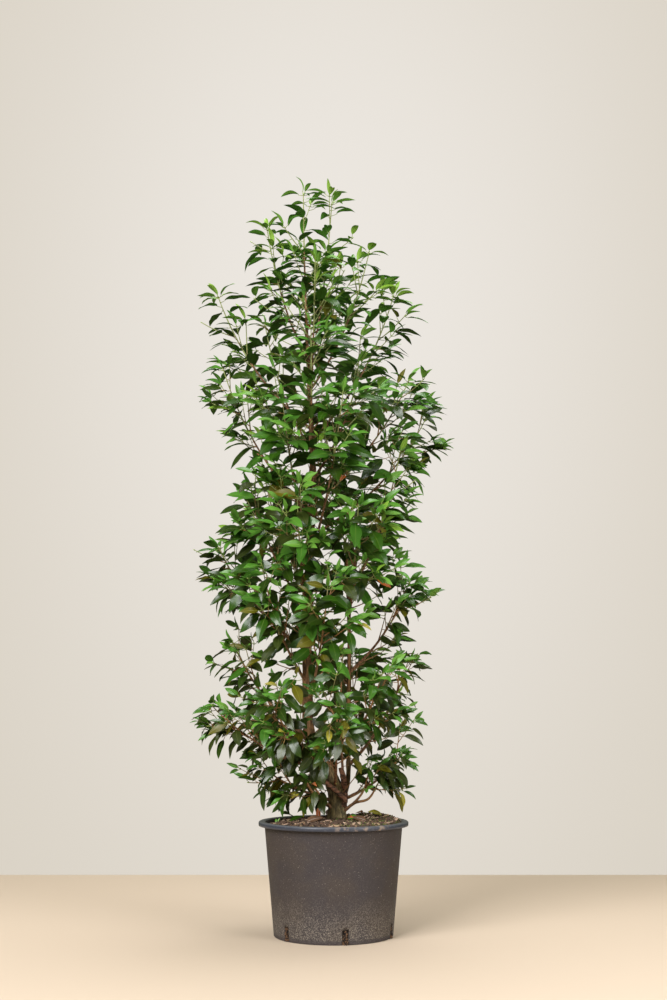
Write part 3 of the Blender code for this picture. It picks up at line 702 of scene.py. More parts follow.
# %% Stems, outline and limbs
# height, x, y and radius at the stations of the two stems
TRUNK = (
    (0.290, 0.009, 0.000, 0.0300), (0.325, 0.010, 0.000, 0.0230), (0.375, 0.006, 0.000, 0.0215),
    (0.440, -0.026, 0.000, 0.0185), (0.520, -0.064, 0.000, 0.0160), (0.645, -0.071, 0.000, 0.0128),
    (0.870, -0.071, 0.000, 0.0112), (1.190, -0.058, 0.000, 0.0095), (1.350, -0.061, 0.000, 0.0072),
    (1.610, -0.074, 0.000, 0.0046), (1.700, -0.077, 0.000, 0.0036),
)
SECOND_STEM = (
    (0.345, 0.018, 0.016, 0.0085), (0.400, 0.039, 0.030, 0.0062), (0.560, 0.040, 0.034, 0.0056),
    (0.800, 0.043, 0.030, 0.0050), (1.000, 0.036, 0.022, 0.0042),
)
# height, and x of the crown's left and right edge
CROWN_OUTLINE = (
    (0.30, -0.18, 0.19), (0.38, -0.20, 0.21), (0.45, -0.30, 0.22), (0.56, -0.38, 0.23),
    (0.64, -0.29, 0.21), (0.70, -0.35, 0.27), (0.80, -0.27, 0.20), (0.93, -0.36, 0.29),
    (1.02, -0.37, 0.23), (1.12, -0.33, 0.22), (1.21, -0.25, 0.24), (1.33, -0.29, 0.33),
    (1.44, -0.36, 0.30), (1.60, -0.34, 0.25), (1.71, -0.37, 0.24), (1.76, -0.38, 0.20),
    (1.82, -0.27, 0.16), (1.95, -0.24, 0.07), (2.03, -0.16, 0.04), (2.10, -0.11, -0.03),
)
CROWN_DEPTH = 0.95
# how far past the outline the model's twigs may reach, then finer twigs, then leaves
TWIG_SLACK = 0.015
FINE_SLACK = -0.015
LEAF_SLACK = 0.027

# stem, height on it, tip as (x, y, height), and whether the limb starts as a bare bough
LIMBS = (
    # top of the crown
    ("trunk", 1.52, (-0.005, 0.02, 2.02), True), ("trunk", 1.56, (-0.190, 0.04, 1.95), False),
    ("trunk", 1.47, (0.100, -0.03, 1.86), True), ("trunk", 1.48, (0.020, 0.14, 1.87), False),
    ("trunk", 1.42, (-0.050, -0.13, 1.80), False),
    # upper third
    ("trunk", 1.36, (-0.325, 0.00, 1.74), True), ("trunk", 1.33, (0.170, 0.03, 1.75), True),
    ("trunk", 1.30, (-0.200, 0.16, 1.70), False), ("trunk", 1.22, (0.090, 0.19, 1.63), False),
    ("trunk", 1.24, (-0.060, -0.18, 1.60), False),
    # widest part
    ("trunk", 1.12, (-0.305, -0.04, 1.52), True), ("trunk", 1.16, (0.205, -0.07, 1.48), True),
    ("trunk", 1.06, (0.260, 0.05, 1.40), True), ("trunk", 1.04, (-0.135, -0.19, 1.40), False),
    ("trunk", 1.00, (0.025, -0.20, 1.42), True), ("trunk", 1.02, (-0.030, 0.21, 1.44), False),
    # middle
    ("second_stem", 0.90, (0.180, -0.09, 1.28), True), ("trunk", 0.86, (-0.225, -0.07, 1.19), True),
    ("trunk", 0.92, (-0.200, 0.15, 1.26), False), ("trunk", 0.82, (-0.095, -0.19, 1.14), False),
    ("second_stem", 0.84, (0.065, -0.17, 1.12), False), ("second_stem", 0.86, (0.080, 0.18, 1.18), False),
    # waist
    ("trunk", 0.75, (-0.315, 0.03, 1.03), True), ("second_stem", 0.69, (0.205, -0.02, 0.93), True),
    ("trunk", 0.66, (-0.185, -0.14, 0.95), True), ("trunk", 0.60, (-0.015, -0.20, 0.90), True),
    ("trunk", 0.62, (-0.060, 0.21, 0.94), False),
    # low skirt
    ("trunk", 0.51, (-0.275, 0.03, 0.77), True), ("second_stem", 0.44, (0.205, 0.05, 0.72), True),
    ("second_stem", 0.50, (0.125, -0.15, 0.68), False), ("second_stem", 0.50, (0.050, 0.20, 0.74), False),
    ("trunk", 0.42, (-0.325, -0.03, 0.60), True), ("trunk", 0.43, (-0.165, -0.16, 0.62), False),
    ("trunk", 0.38, (0.010, -0.20, 0.60), False), ("trunk", 0.345, (0.180, -0.05, 0.47), False),
    ("trunk", 0.42, (-0.190, 0.16, 0.58), False), ("trunk", 0.345, (-0.190, -0.03, 0.44), False),
    # the trunk's own tip
    ("trunk", TRUNK[-1][0], (-0.086, 0.00, 2.04), False),
)
print(f"{len(LIMBS)} limbs on {len(TRUNK)} trunk stations")

# %% [markdown]
# ## The rule of the limbs
#
# Every limb leaves its stem outwards and then turns up: with t from 0 to 1 along it, the sideways
# share is t + 0.35 t (1 - t) and the upward share is t - 0.25 t (1 - t). It is bare for its first
# part. All limbs are worked out together as one array of shape (limb, step, 3).

# %% Stem lines and limb lines
STEM_STEPS = 16
BOW_OUT = 0.35
BOW_UP = 0.25
BARE_BOUGH = 0.42
BARE_TWIG = 0.30
LIMB_RADIUS_LOW = 0.0052
LIMB_RADIUS_HIGH = 0.0034
LIMB_TIP_RADIUS = 0.0012
LIMB_STEPS = 36


def stations_path(stations, steps=STEM_STEPS):
    """A smooth line through the stations by cubic Hermite steps: its places and its radii."""
    table = np.array(stations)
    fine = np.linspace(0, len(table) - 1, (len(table) - 1) * steps + 1)
    slopes = np.gradient(table, axis=0)
    low = np.minimum(fine.astype(int), len(table) - 2)
    t = (fine - low)[:, None]
    a, b, da, db = table[low], table[low + 1], slopes[low], slopes[low + 1]
    t2, t3 = t * t, t * t * t
    smooth = a * (2 * t3 - 3 * t2 + 1) + da * (t3 - 2 * t2 + t)
    smooth += b * (3 * t2 - 2 * t3) + db * (t3 - t2)
    return smooth[:, [1, 2, 0]], smooth[:, 3]


STEMS = {"trunk": stations_path(TRUNK), "second_stem": stations_path(SECOND_STEM)}


def stem_at(parent, heights):
    """Centres of a stem at some heights."""
    points, _ = STEMS[parent]
    return np.stack([np.interp(heights, points[:, 2], points[:, axis]) for axis in range(3)], -1)


LIMB_ROOTS = np.array([stem_at(parent, start) for parent, start, _, _ in LIMBS])
LIMB_TIPS = np.array([tip for _, _, tip, _ in LIMBS])
LIMB_BARE = np.array([BARE_BOUGH if bough else BARE_TWIG for _, _, _, bough in LIMBS])
LIMB_BARE[-1] = 0.0
HEIGHT_SHARES = (LIMB_ROOTS[:, 2] - SOIL_TOP) / (TRUNK[-1][0] - SOIL_TOP)
LIMB_ROOT_RADII = LIMB_RADIUS_LOW + (LIMB_RADIUS_HIGH - LIMB_RADIUS_LOW) * HEIGHT_SHARES


def limb_points(limbs, shares):
    """Places at the given shares along the given limbs, both arrays of the same length."""
    t = np.asarray(shares, float)[..., None]
    root, span = LIMB_ROOTS[limbs], LIMB_TIPS[limbs] - LIMB_ROOTS[limbs]
    sideways = t + BOW_OUT * t * (1 - t)
    upwards = t - BOW_UP * t * (1 - t)
    return root + np.concatenate([span[..., :2] * sideways, span[..., 2:] * upwards], -1)


LIMB_NUMBERS = np.arange(len(LIMBS))
limb_shares = np.broadcast_to(np.linspace(0, 1, LIMB_STEPS), (len(LIMBS), LIMB_STEPS))
limb_paths = limb_points(np.broadcast_to(LIMB_NUMBERS[:, None], limb_shares.shape), limb_shares)
limb_lengths = np.linalg.norm(np.diff(limb_paths, axis=1), axis=2).sum(1)
print(f"limbs are {limb_lengths.min():.2f} to {limb_lengths.max():.2f} m long")

# %% [markdown]
# ## Room to grow
#
# A twig or a leaf may only grow inside the crown's outline, above the compost or outside the rim,
# clear of the bare wood and, except in the middle of the crown, nearer to its own limb than to
# any other. The tests take whole arrays of places.

# %% Where foliage may be
POT_MARGIN = 0.004
# middle and half sizes of the spaces kept open before the trunk's foot and its basal shoots
OPEN_SPACES = (
    ((0.018, -0.110, 0.408), (0.038, 0.150, 0.082)),
    ((0.080, -0.070, 0.346), (0.060, 0.110, 0.034)),
)
BOX_LOW = np.array(cad_low) - (0.006, 0.006, 0.0)
BOX_HIGH = np.array(cad_high) + (0.006, 0.006, 0.0)
OWN_SPACE_MARGIN = -0.020
LIMB_MARGIN = 0.0025
SPINE_STEPS = 4
BOUGH_STEPS = 5
INNER_CROWN = 0.12


def runs(limbs, first, last, steps):
    """Straight pieces of the limbs between two shares: their starts and ends."""
    shares = first[:, None] + (last - first)[:, None] * np.linspace(0, 1, steps)
    line = limb_points(np.broadcast_to(limbs[:, None], shares.shape), shares)
    return line[:, :-1].reshape(-1, 3), line[:, 1:].reshape(-1, 3)


def segment_distance(places, starts, ends):
    """Distance from each place to each segment: to the nearest point of start + share * span."""
    along = ends - starts
    offset = places[:, None] - starts[None]
    share = np.clip((offset * along).sum(2) / (along**2).sum(1), 0, 1)
    return np.linalg.norm(offset - share[..., None] * along, axis=2)


ONES = np.ones(len(LIMBS))
spine_starts, spine_ends = runs(LIMB_NUMBERS, LIMB_BARE, ONES, SPINE_STEPS)
spine_owner = np.repeat(LIMB_NUMBERS, SPINE_STEPS - 1)
bare_starts, bare_ends = runs(LIMB_NUMBERS, 0 * ONES, np.maximum(LIMB_BARE, 0.02), BOUGH_STEPS)
bare_radii = np.repeat(LIMB_ROOT_RADII, BOUGH_STEPS - 1)
wood_starts = np.vstack([bare_starts] + [points[:-1:4] for points, _ in STEMS.values()])
wood_ends = np.vstack([bare_ends] + [points[4::4] for points, _ in STEMS.values()])
wood_radii = np.concatenate([bare_radii] + [radii[:-1:4] for _, radii in STEMS.values()])


def inside_outline(places, slack):
    """True inside the model's box and (sideways / reach)^2 + (depth / deepest)^2 < 1 at this height."""
    heights, left, right = np.array(CROWN_OUTLINE).T
    axis = stem_at("trunk", places[:, 2])[:, 0]
    to_left = axis - np.interp(places[:, 2], heights, left) + slack
    to_right = np.interp(places[:, 2], heights, right) - axis + slack
    sideways = places[:, 0] - axis
    reach = np.where(sideways > 0, to_right, to_left)
    deepest = CROWN_DEPTH * (to_left + to_right) / 2
    inside = (sideways / reach) ** 2 + (places[:, 1] / deepest) ** 2 < 1
    return inside & (places > BOX_LOW).all(1) & (places < BOX_HIGH).all(1)


def clear_of_pot(places):
    radius = np.hypot(places[:, 0], places[:, 1])
    above = places[:, 2] > SOIL_TOP + POT_MARGIN
    return above | ((radius > POT_RIM_RADIUS + POT_MARGIN) & (places[:, 2] > POT_HEIGHT))


def clear_of_foot(places):
    """Outside every ellipsoid that shows the trunk's foot: the sum of (offset / half size)^2 is over 1."""
    clear = np.ones(len(places), bool)
    for middle, half in OPEN_SPACES:
        clear &= (((places - middle) / half) ** 2).sum(1) > 1
    return clear


def has_room(owners, places, slack):
    """For places of shape (n, points, 3), true where all of a row's points are free."""
    count, points, _ = places.shape
    flat = places.reshape(-1, 3)
    to_spines = segment_distance(flat, spine_starts, spine_ends)
    own = spine_owner[None] == np.repeat(owners, points)[:, None]
    nearest_own = np.where(own, to_spines, np.inf).min(1)
    nearest_other = np.where(own, np.inf, to_spines).min(1)
    to_wood = (segment_distance(flat, wood_starts, wood_ends) - wood_radii).min(1)
    free = inside_outline(flat, slack) & clear_of_pot(flat)
    inner = np.linalg.norm(outward_at(flat), axis=1) < 0.999
    free &= (inner | (nearest_own + OWN_SPACE_MARGIN < nearest_other)) & (to_wood > LIMB_MARGIN)
    return free.reshape(count, points).all(1)


def outward_at(places):
    """Level direction away from the trunk's line, shorter than one near the trunk."""
    away = (places - stem_at("trunk", places[..., 2])) * (1, 1, 0)
    return away / np.maximum(np.linalg.norm(away, axis=-1, keepdims=True), INNER_CROWN)


print(f"room is kept round {len(wood_starts)} pieces of bare wood")

# %% [markdown]
# ## Twigs, and finer twigs on them
#
# The first twigs follow the same seeded rule as the model: four to a limb, turned round it by the
# golden angle, leaning outwards and up. The rule is carried on to finer ones, side shoots and spurs
# on the stems, and the shoots at the trunk's foot are listed. Each order is one array (twig, step, 3).

# %% Growing the twigs
SEED = 41
GOLDEN_ANGLE = math.radians(137.5)
TWIGS = 4
TWIG_SHARES = (0.06, 0.80)
TWIG_LENGTH = 0.115
TWIG_LENGTH_SPREAD = (0.85, 1.10)
TWIG_TOP_SHORTER = 0.26
TWIG_ANGLE = math.radians(48)
TWIG_TURN_OUT = 0.30
TWIG_TURN_UP = 0.15
TWIG_STEPS = 9
TWIG_SAG = 0.16
# radius at root and tip, by order
TWIG_RADII = {1: (0.0020, 0.0011), 2: (0.0017, 0.0009), 3: (0.0013, 0.0008), 4: (0.0017, 0.0009)}
FINE_TWIGS = 6
FINE_SHARES = (0.0, 0.74)
FINE_FROM = 0.35
FINE_LENGTH = 0.098
FINE_TOP_SHORTER = 0.25
FINE_ANGLE = math.radians(42)
TOP_OF_FINE = 1.84
SHOOT_SHARES = (0.34, 0.62)
SHOOT_LENGTH = 0.075
SHOOT_TURN_UP = 0.30
SHOOT_SAG = 0.10
TOP_OF_SHOOTS = 1.50
# spurs: stem, from and to a height, and how far apart
SPURS = (
    ("trunk", 0.345, 0.56, 0.036), ("trunk", 0.66, 1.10, 0.044), ("trunk", 1.10, 1.68, 0.026),
    ("second_stem", 0.50, 1.00, 0.050))
SPUR_LENGTH = 0.105
SPUR_ANGLE = math.radians(62)
SPUR_BEARER_RADIUS = 0.003
# height, x, y and radius at each station of the shoots that rise beside the trunk
BASAL_SHOOTS = (
    ((0.316, 0.022, -0.004, 0.0045), (0.343, 0.056, -0.012, 0.0037), (0.356, 0.094, -0.022, 0.0030),
     (0.402, 0.122, -0.032, 0.0016)),
    ((0.320, 0.022, -0.010, 0.0040), (0.348, 0.058, -0.020, 0.0033), (0.382, 0.082, -0.026, 0.0027),
     (0.445, 0.098, -0.034, 0.0014)),
    ((0.345, 0.030, 0.004, 0.0042), (0.440, 0.024, -0.006, 0.0036), (0.580, 0.018, -0.002, 0.0030),
     (0.760, 0.026, -0.010, 0.0016)),
    ((0.330, -0.004, -0.008, 0.0042), (0.352, -0.038, -0.026, 0.0035), (0.384, -0.062, -0.048, 0.0028),
     (0.440, -0.092, -0.066, 0.0015)),
    ((0.330, -0.006, -0.012, 0.0036), (0.362, -0.032, -0.046, 0.0030), (0.388, -0.050, -0.082, 0.0024),
     (0.404, -0.060, -0.122, 0.0013)),
)

Shoots = namedtuple("Shoots", "paths radii owner order")


def along_paths(paths, owner, shares):
    """Place and direction at a share of the path that each owner number names."""
    steps = paths.shape[1] - 1
    at = np.clip(shares * steps, 0, steps - 1e-6)
    low = at.astype(int)
    first, last = paths[owner, low], paths[owner, low + 1]
    return first + (at - low)[:, None] * (last - first), unit(last - first)


def twig_ends(start, direction, angle, spread, length, turn_up=TWIG_TURN_UP):
    """End of each side twig: its bearer's direction tipped by `spread` at an angle round it."""
    heading = math.sin(spread) * swing(angle, *side_axes(direction)) + math.cos(spread) * direction
    heading = unit(heading + TWIG_TURN_OUT * outward_at(start) + turn_up * UP)
    return start + length[:, None] * heading


def bowed_paths(start, end, sag=TWIG_SAG, steps=TWIG_STEPS):
    """start + t * span, let down by sag * length * t * (1 - t) so that the end turns up."""
    t = np.linspace(0, 1, steps)[:, None]
    span = (end - start)[:, None]
    length = np.linalg.norm(span, axis=2, keepdims=True)
    return start[:, None] + t * span - sag * length * t * (1 - t) * UP


def tapered(order, owner, paths, bearer_radii):
    """Shoots whose radii shrink evenly from root to tip, both below the radius of the bearer."""
    root, tip = TWIG_RADII[order]
    roots = np.minimum(root, 0.85 * bearer_radii)[:, None]
    radii = roots + (np.minimum(tip, 0.8 * roots) - roots) * np.linspace(0, 1, TWIG_STEPS)
    return Shoots(paths, radii, owner, order)


def with_room(order, owner, paths, bearer_radii, slack=FINE_SLACK):
    """Only the twigs that have room."""
    free = has_room(owner, paths[:, 2:], slack)
    return tapered(order, owner[free], paths[free], bearer_radii[free])


def limb_radius(limbs, shares):
    """A limb's radius shrinks from root to tip with its share to the power 0.85."""
    return LIMB_ROOT_RADII[limbs] + (LIMB_TIP_RADIUS - LIMB_ROOT_RADII[limbs]) * shares**0.85


def limb_sites(count, first, shares):
    """Sites along every limb's leafy part: number, limb, share, place and direction of each."""
    number = np.tile(np.arange(count), len(LIMBS))
    limb = np.repeat(LIMB_NUMBERS, count)
    bare = first * LIMB_BARE[limb]
    share = bare + (1 - bare) * np.linspace(*shares, count)[number]
    start = limb_points(limb, share)
    return number, limb, share, start, unit(limb_points(limb, share + 0.02) - start)


def source_twigs():
    """The model's own four twigs to a limb, drawn from the same seeds."""
    phases, spreads = [], []
    for number in LIMB_NUMBERS:
        rng = np.random.default_rng([SEED, int(number)])
        phases.append(rng.uniform(0, 2 * math.pi))
        spreads.append(rng.uniform(*TWIG_LENGTH_SPREAD, TWIGS))
    number, limb, share, start, direction = limb_sites(TWIGS, 1, TWIG_SHARES)
    angle = np.array(phases)[limb] + number * GOLDEN_ANGLE
    length = TWIG_LENGTH * (1 - TWIG_TOP_SHORTER * number / (TWIGS - 1)) * np.concatenate(spreads)
    end = twig_ends(start, direction, angle, TWIG_ANGLE, length)
    return with_room(1, limb, bowed_paths(start, end), limb_radius(limb, share), TWIG_SLACK)


def fine_twigs():
    """Shorter twigs between those, by the same rule."""
    rng = np.random.default_rng([SEED, 100])
    number, limb, share, start, direction = limb_sites(FINE_TWIGS, FINE_FROM, FINE_SHARES)
    angle = rng.uniform(0, 2 * math.pi, len(LIMBS))[limb] + number * GOLDEN_ANGLE
    length = FINE_LENGTH * (1 - FINE_TOP_SHORTER * number / FINE_TWIGS) * rng.uniform(0.75, 1.2, len(limb))
    end = twig_ends(start, direction, angle, FINE_ANGLE, length)
    low = start[:, 2] < TOP_OF_FINE
    return with_room(2, limb[low], bowed_paths(start[low], end[low]), limb_radius(limb, share)[low])


def side_shoots(twigs):
    """Two side shoots to each twig, on either side of it, turned up."""
    rng = np.random.default_rng([SEED, 101])
    count = len(twigs.owner)
    twig = np.repeat(np.arange(count), len(SHOOT_SHARES))
    share = np.tile(SHOOT_SHARES, count) + rng.uniform(-0.05, 0.05, len(twig))
    start, direction = along_paths(twigs.paths, twig, share)
    angle = rng.uniform(-0.7, 0.7, len(twig)) + math.pi * (np.arange(len(twig)) % 2)
    length = SHOOT_LENGTH * rng.uniform(0.7, 1.25, len(twig))
    end = twig_ends(start, direction, angle, FINE_ANGLE, length, SHOOT_TURN_UP)
    root, tip = twigs.radii[twig, 0], twigs.radii[twig, -1]
    bearer = root + (tip - root) * share
    low = start[:, 2] < TOP_OF_SHOOTS
    return with_room(3, twigs.owner[twig][low], bowed_paths(start[low], end[low], SHOOT_SAG), bearer[low])


def spurs():
    """Short twigs straight from the two stems, each owned by the limb that is nearest its end."""
    rng = np.random.default_rng([SEED, 102])
    starts, ends = [], []
    for name, low, high, gap in SPURS:
        heights = np.arange(low, high, gap)
        heights = heights + rng.uniform(-0.4, 0.4, len(heights)) * gap
        start = stem_at(name, heights)
        angle = rng.uniform(0, 2 * math.pi) + np.arange(len(heights)) * GOLDEN_ANGLE
        up = unit(stem_at(name, heights + 0.02) - start)
        length = SPUR_LENGTH * rng.uniform(0.7, 1.25, len(heights))
        starts.append(start)
        ends.append(twig_ends(start, up, angle, SPUR_ANGLE, length))
    start, end = np.vstack(starts), np.vstack(ends)
    bearer = np.full(len(end), SPUR_BEARER_RADIUS)
    return tapered(4, nearest_limb(end), bowed_paths(start, end, SHOOT_SAG), bearer)


def basal_shoots():
    """Listed shoots from the trunk's foot, each a smooth line through its stations."""
    lines = [stations_path(stations, 8) for stations in BASAL_SHOOTS]
    paths, radii = [np.stack(values) for values in zip(*lines)]
    return Shoots(paths, radii, nearest_limb(paths[:, -1]), 5)


def nearest_limb(places):
    return spine_owner[segment_distance(places, spine_starts, spine_ends).argmin(1)]


twigs = source_twigs()
GROWTH = [
    Shoots(limb_paths, limb_radius(LIMB_NUMBERS[:, None], limb_shares), LIMB_NUMBERS, 0),
    twigs, fine_twigs(), side_shoots(twigs), spurs(), basal_shoots(),
]
print("shoots of each order:", [len(shoots.owner) for shoots in GROWTH])

# %% [markdown]
# ## Bark
#
# Wood is a tube carried along its line. A ring of places square to the line is
# centre + radius * (cos a * side + sin a * across), and the radius may change with the angle too,
# which gives the trunk its flare, ridges, knot and collars. Both ends are closed.

# %% Tubes
def tube_mesh(paths, radii, sides):
    """Places and faces of closed tubes along paths (n, steps, 3); radii may have a side axis too."""
    count, steps, _ = paths.shape
    tangents = unit(np.gradient(paths, axis=1))
    span = paths[:, -1] - paths[:, 0]
    square = np.cross(span, UP) + (1e-4, 0.0, 0.0)
    side = unit(square[:, None] - (square[:, None] * tangents).sum(-1, keepdims=True) * tangents)
    across = np.cross(tangents, side)
    angles = np.linspace(0, 2 * math.pi, sides, endpoint=False)[:, None]
    around = np.cos(angles) * side[:, :, None] + np.sin(angles) * across[:, :, None]
    radii = radii[..., None] if radii.ndim == 2 else radii
    rings = paths[:, :, None] + radii[..., None] * around
    ends = np.stack([paths[:, 0], paths[:, -1]], 1)
    places = np.concatenate([rings.reshape(count, -1, 3), ends], 1)
    ring = np.arange(sides)
    after = (ring + 1) % sides
    last = (steps - 1) * sides
    caps = [fan(steps * sides, after, ring), fan(steps * sides + 1, last + ring, last + after)]
    faces = [grid_faces(steps, sides, closed=True), np.vstack(caps)]
    return places.reshape(-1, 3), [repeated(block, count, steps * sides + 2) for block in faces]


def tube_piece(name, paths, radii, sides, finishes, replaced, bands=None):
    places, faces = tube_mesh(paths, radii, sides)
    make_piece(name, places, faces, finishes, replaced, bands)


def bark_finish():
    """Olive-grey bark at the foot that turns reddish brown higher up, with long fissures and lenticels."""
    finish = Finish("bark", (0.13, 0.075, 0.045), 0.85)
    height = finish.axis()
    fissures = finish.noise(0.0045, 5.0, (1.0, 1.0, 0.16))
    flakes = finish.noise(0.011, 4.0, (1.0, 1.0, 0.6))
    lenticels = finish.step(finish.noise(0.0030, 2.0, (0.45, 0.45, 1.0)), 0.62, 0.70)
    scales = 0.62 * fissures + 0.38 * flakes
    ridge_ends = (0.40, 0.62)
    brown = finish.mix(finish.step(scales, *ridge_ends), (0.085, 0.040, 0.016), (0.310, 0.155, 0.058))
    olive = finish.mix(finish.step(scales, *ridge_ends), (0.058, 0.047, 0.021), (0.250, 0.198, 0.088))
    brown = finish.mix(lenticels * 0.5, brown, (0.420, 0.260, 0.130))
    low = (1 - finish.step(height + finish.noise(0.03, 3.0) * 0.16, 0.42, 0.66)) * 0.9
    finish.drive("Base Color", finish.mix(low, brown, olive))
    finish.bump(scales, 0.0012, 0.7)
    return finish


def flecked_finish(name, colour, roughness, noise, span, dark, pale, relief):
    """Thin bark of two colours, dealt over a `span` of one noise that gives the relief too."""
    finish = Finish(name, colour, roughness)
    flecks = finish.noise(*noise)
    finish.drive("Base Color", finish.mix(finish.step(flecks, *span), dark, pale))
    finish.bump(flecks, *relief)
    return finish


# %% [markdown]
# ## The stems
#
# The relief of the two stems is in the mesh itself: long ridges and scales from noise stretched
# along the stem, three lobes at the foot, a knot, and a collar under every limb.

# %% Trunk and second stem with relief
TRUNK_SIDES = 56
STEM_SIDES = 24
KNOT = (0.030, -0.010, 0.400, 0.0055, 0.020)
RIDGE_SHARE = 0.16
SCALE_SHARE = 0.07
LOBE_SHARE = 0.10
COLLAR_SHARE = 0.22


def stem_relief(paths, radii, sides, seed):
    """Radius grown by long ridges, foot lobes, and a collar below each limb that leaves here."""
    angles, ring = circle(sides)
    skin = paths[:, None] + radii[:, None, None] * ring
    long_ridges = lattice_noise(skin * (1, 1, 0.22), 0.0065, seed) - 0.5
    scales = lattice_noise(skin, 0.0045, seed + 1) - 0.5
    grown = radii[:, None] * (1 + RIDGE_SHARE * long_ridges + SCALE_SHARE * scales)
    foot = np.exp(-np.clip(paths[:, 2:] - SOIL_TOP, 0, 1) / 0.022)
    grown += LOBE_SHARE * radii[:, None] * foot * np.cos(3 * angles + 0.6)
    gap = np.linalg.norm(skin[:, :, None] - (LIMB_ROOTS + (0, 0, 0.004)), axis=-1)
    near = np.exp(-((gap / (radii[:, None, None] + 1.4 * LIMB_ROOT_RADII)) ** 4))
    grown += (near * COLLAR_SHARE * LIMB_ROOT_RADII).sum(-1)
    knot_gap = np.linalg.norm((skin - KNOT[:3]) * (1, 1, 0.6), axis=-1)
    return grown + KNOT[3] * np.exp(-((knot_gap / KNOT[4]) ** 2))


def build_stem(name, sides, seed):
    """The stem's own line with twice the steps, carried round with its relief."""
    points, radii = STEMS[name]
    steps = np.arange(len(points))
    t = np.linspace(0, len(points) - 1, 2 * len(points) - 1)
    fine = np.stack([np.interp(t, steps, points[:, axis]) for axis in range(3)], 1)
    relief = stem_relief(fine, np.interp(t, steps, radii), sides, seed)
    tube_piece(name + "_bark", fine[None], relief[None], sides, [bark], [name])


bark = bark_finish()
build_stem("trunk", TRUNK_SIDES, 21)
build_stem("second_stem", STEM_SIDES, 31)

# %% [markdown]
# ## Old wood
#
# A broken bough lies across the front of the trunk's foot, beside a dark dead stub. Both are
# tubes through a few stations whose radius is roughened with noise.

# %% Old wood at the foot
OLD_WOOD_SIDES = 16
# height, x, y and radius: a broken bough across the front, and a dark stub
OLD_WOOD = {
    "broken_bough": (
        (0.332, 0.014, -0.004, 0.0080), (0.352, 0.031, -0.025, 0.0070), (0.384, -0.002, -0.036, 0.0062),
        (0.421, -0.049, -0.037, 0.0046)),
    "dead_stub": (
        (0.330, 0.026, 0.000, 0.0100), (0.372, 0.030, -0.008, 0.0088), (0.405, 0.027, -0.013, 0.0078),
        (0.436, 0.019, -0.014, 0.0066)),
}
dead_bark = flecked_finish(
    "dead_bark", (0.200, 0.090, 0.055), 0.9, (0.006, 5.0, (0.35, 0.6, 1.0)), (0.38, 0.60),
    (0.062, 0.034, 0.022), (0.290, 0.135, 0.078), (0.0025, 0.8))
for number, (name, stations) in enumerate(OLD_WOOD.items()):
    line, thickness = stations_path(stations, 10)
    skin = line[:, None] + thickness[:, None, None] * circle(OLD_WOOD_SIDES)[1]
    rough = 1 + 0.5 * (lattice_noise(skin, 0.006, 61 + number) - 0.5)
    radii = (thickness[:, None] * rough)[None]
    tube_piece(name, line[None], radii, OLD_WOOD_SIDES, [dead_bark], ["trunk"])

# %% [markdown]
# ## Boughs and twigs
#
# Every order of shoots is one joined piece of tubes. Young wood is swollen a little at its nodes.
# A twig is brown at its root, then orange or olive, and the higher it grows the greener it is.

# %% Boughs and twigs
BOUGH_SIDES = 12
TWIG_SIDES = 6
BOUGH_BARK = flecked_finish(
    "bough_bark", (0.250, 0.135, 0.075), 0.7, (0.004, 3.0, (1.0, 1.0, 0.5)), (0.40, 0.68),
    (0.130, 0.062, 0.028), (0.320, 0.160, 0.066), (0.0005, 0.6))
BROWN_WOOD = Finish("brown_wood", (0.210, 0.105, 0.048), 0.65)
ORANGE_WOOD = Finish("orange_wood", (0.330, 0.165, 0.062), 0.6)
OLIVE_WOOD = Finish("olive_wood", (0.225, 0.190, 0.072), 0.6)
GREEN_WOOD = Finish("green_wood", (0.250, 0.280, 0.085), 0.55)
# ends above these heights have wood one step greener each
GREENER_WOOD = (0.95, 1.50, 1.75)
WOOD_SEED = 51
# piece of each order of shoots, its sides, and the shares of its length where the colour changes
WOOD = (
    ("boughs", BOUGH_SIDES, (0.55, 0.86)), ("twigs", TWIG_SIDES, (0.15, 0.65)),
    ("fine_twigs", TWIG_SIDES, (0.10, 0.55)), ("side_shoots", TWIG_SIDES, (0.05, 0.40)),
    ("spurs", TWIG_SIDES, (0.15, 0.70)), ("basal_shoots", BOUGH_SIDES, (0.45, 0.80)),
)


def swollen(paths, radii, seed):
    """Radii with a thicker root and small swellings at the nodes, every 3 cm or so."""
    steps = np.linalg.norm(np.diff(paths, axis=1), axis=2)
    run = np.concatenate([np.zeros((len(paths), 1)), np.cumsum(steps, 1)], 1)
    phase = np.random.default_rng(seed).uniform(0, 0.03, (len(paths), 1))
    node = np.cos(2 * math.pi * (run + phase) / 0.030) ** 8
    root = np.exp(-run / 0.008)
    return radii * (1 + 0.10 * node + 0.15 * root)


def wood_band(paths, sides, cut, barked):
    """Finish number of each face: the first below the first cut, and so on, greener if high."""
    steps = paths.shape[1]
    greener = np.searchsorted(GREENER_WOOD, paths[:, -1, 2])[:, None]
    rows = np.searchsorted(cut, np.repeat(np.arange(steps - 1) / (steps - 1), sides))
    caps = np.repeat((0, len(cut)), sides)
    bands = [np.minimum(band + greener * ((band > 0) | (not barked)), 3) for band in (rows, caps)]
    return np.concatenate([band.ravel() for band in bands])


def build_wood(order, name, sides, cut):
    """One joined piece of tubes, brown at the root, then orange or olive, green at a high tip."""
    paths, radii, _, _ = GROWTH[order]
    barked = sides == BOUGH_SIDES
    finishes = [BOUGH_BARK if barked else BROWN_WOOD, ORANGE_WOOD, OLIVE_WOOD, GREEN_WOOD]
    replaced = FOLIAGE_NODES if order else BOUGH_NODES + FOLIAGE_NODES
    bands = wood_band(paths, sides, cut, barked)
    radii = swollen(paths, radii, WOOD_SEED + order)
    tube_piece(name, paths, radii, sides, finishes, replaced, bands)


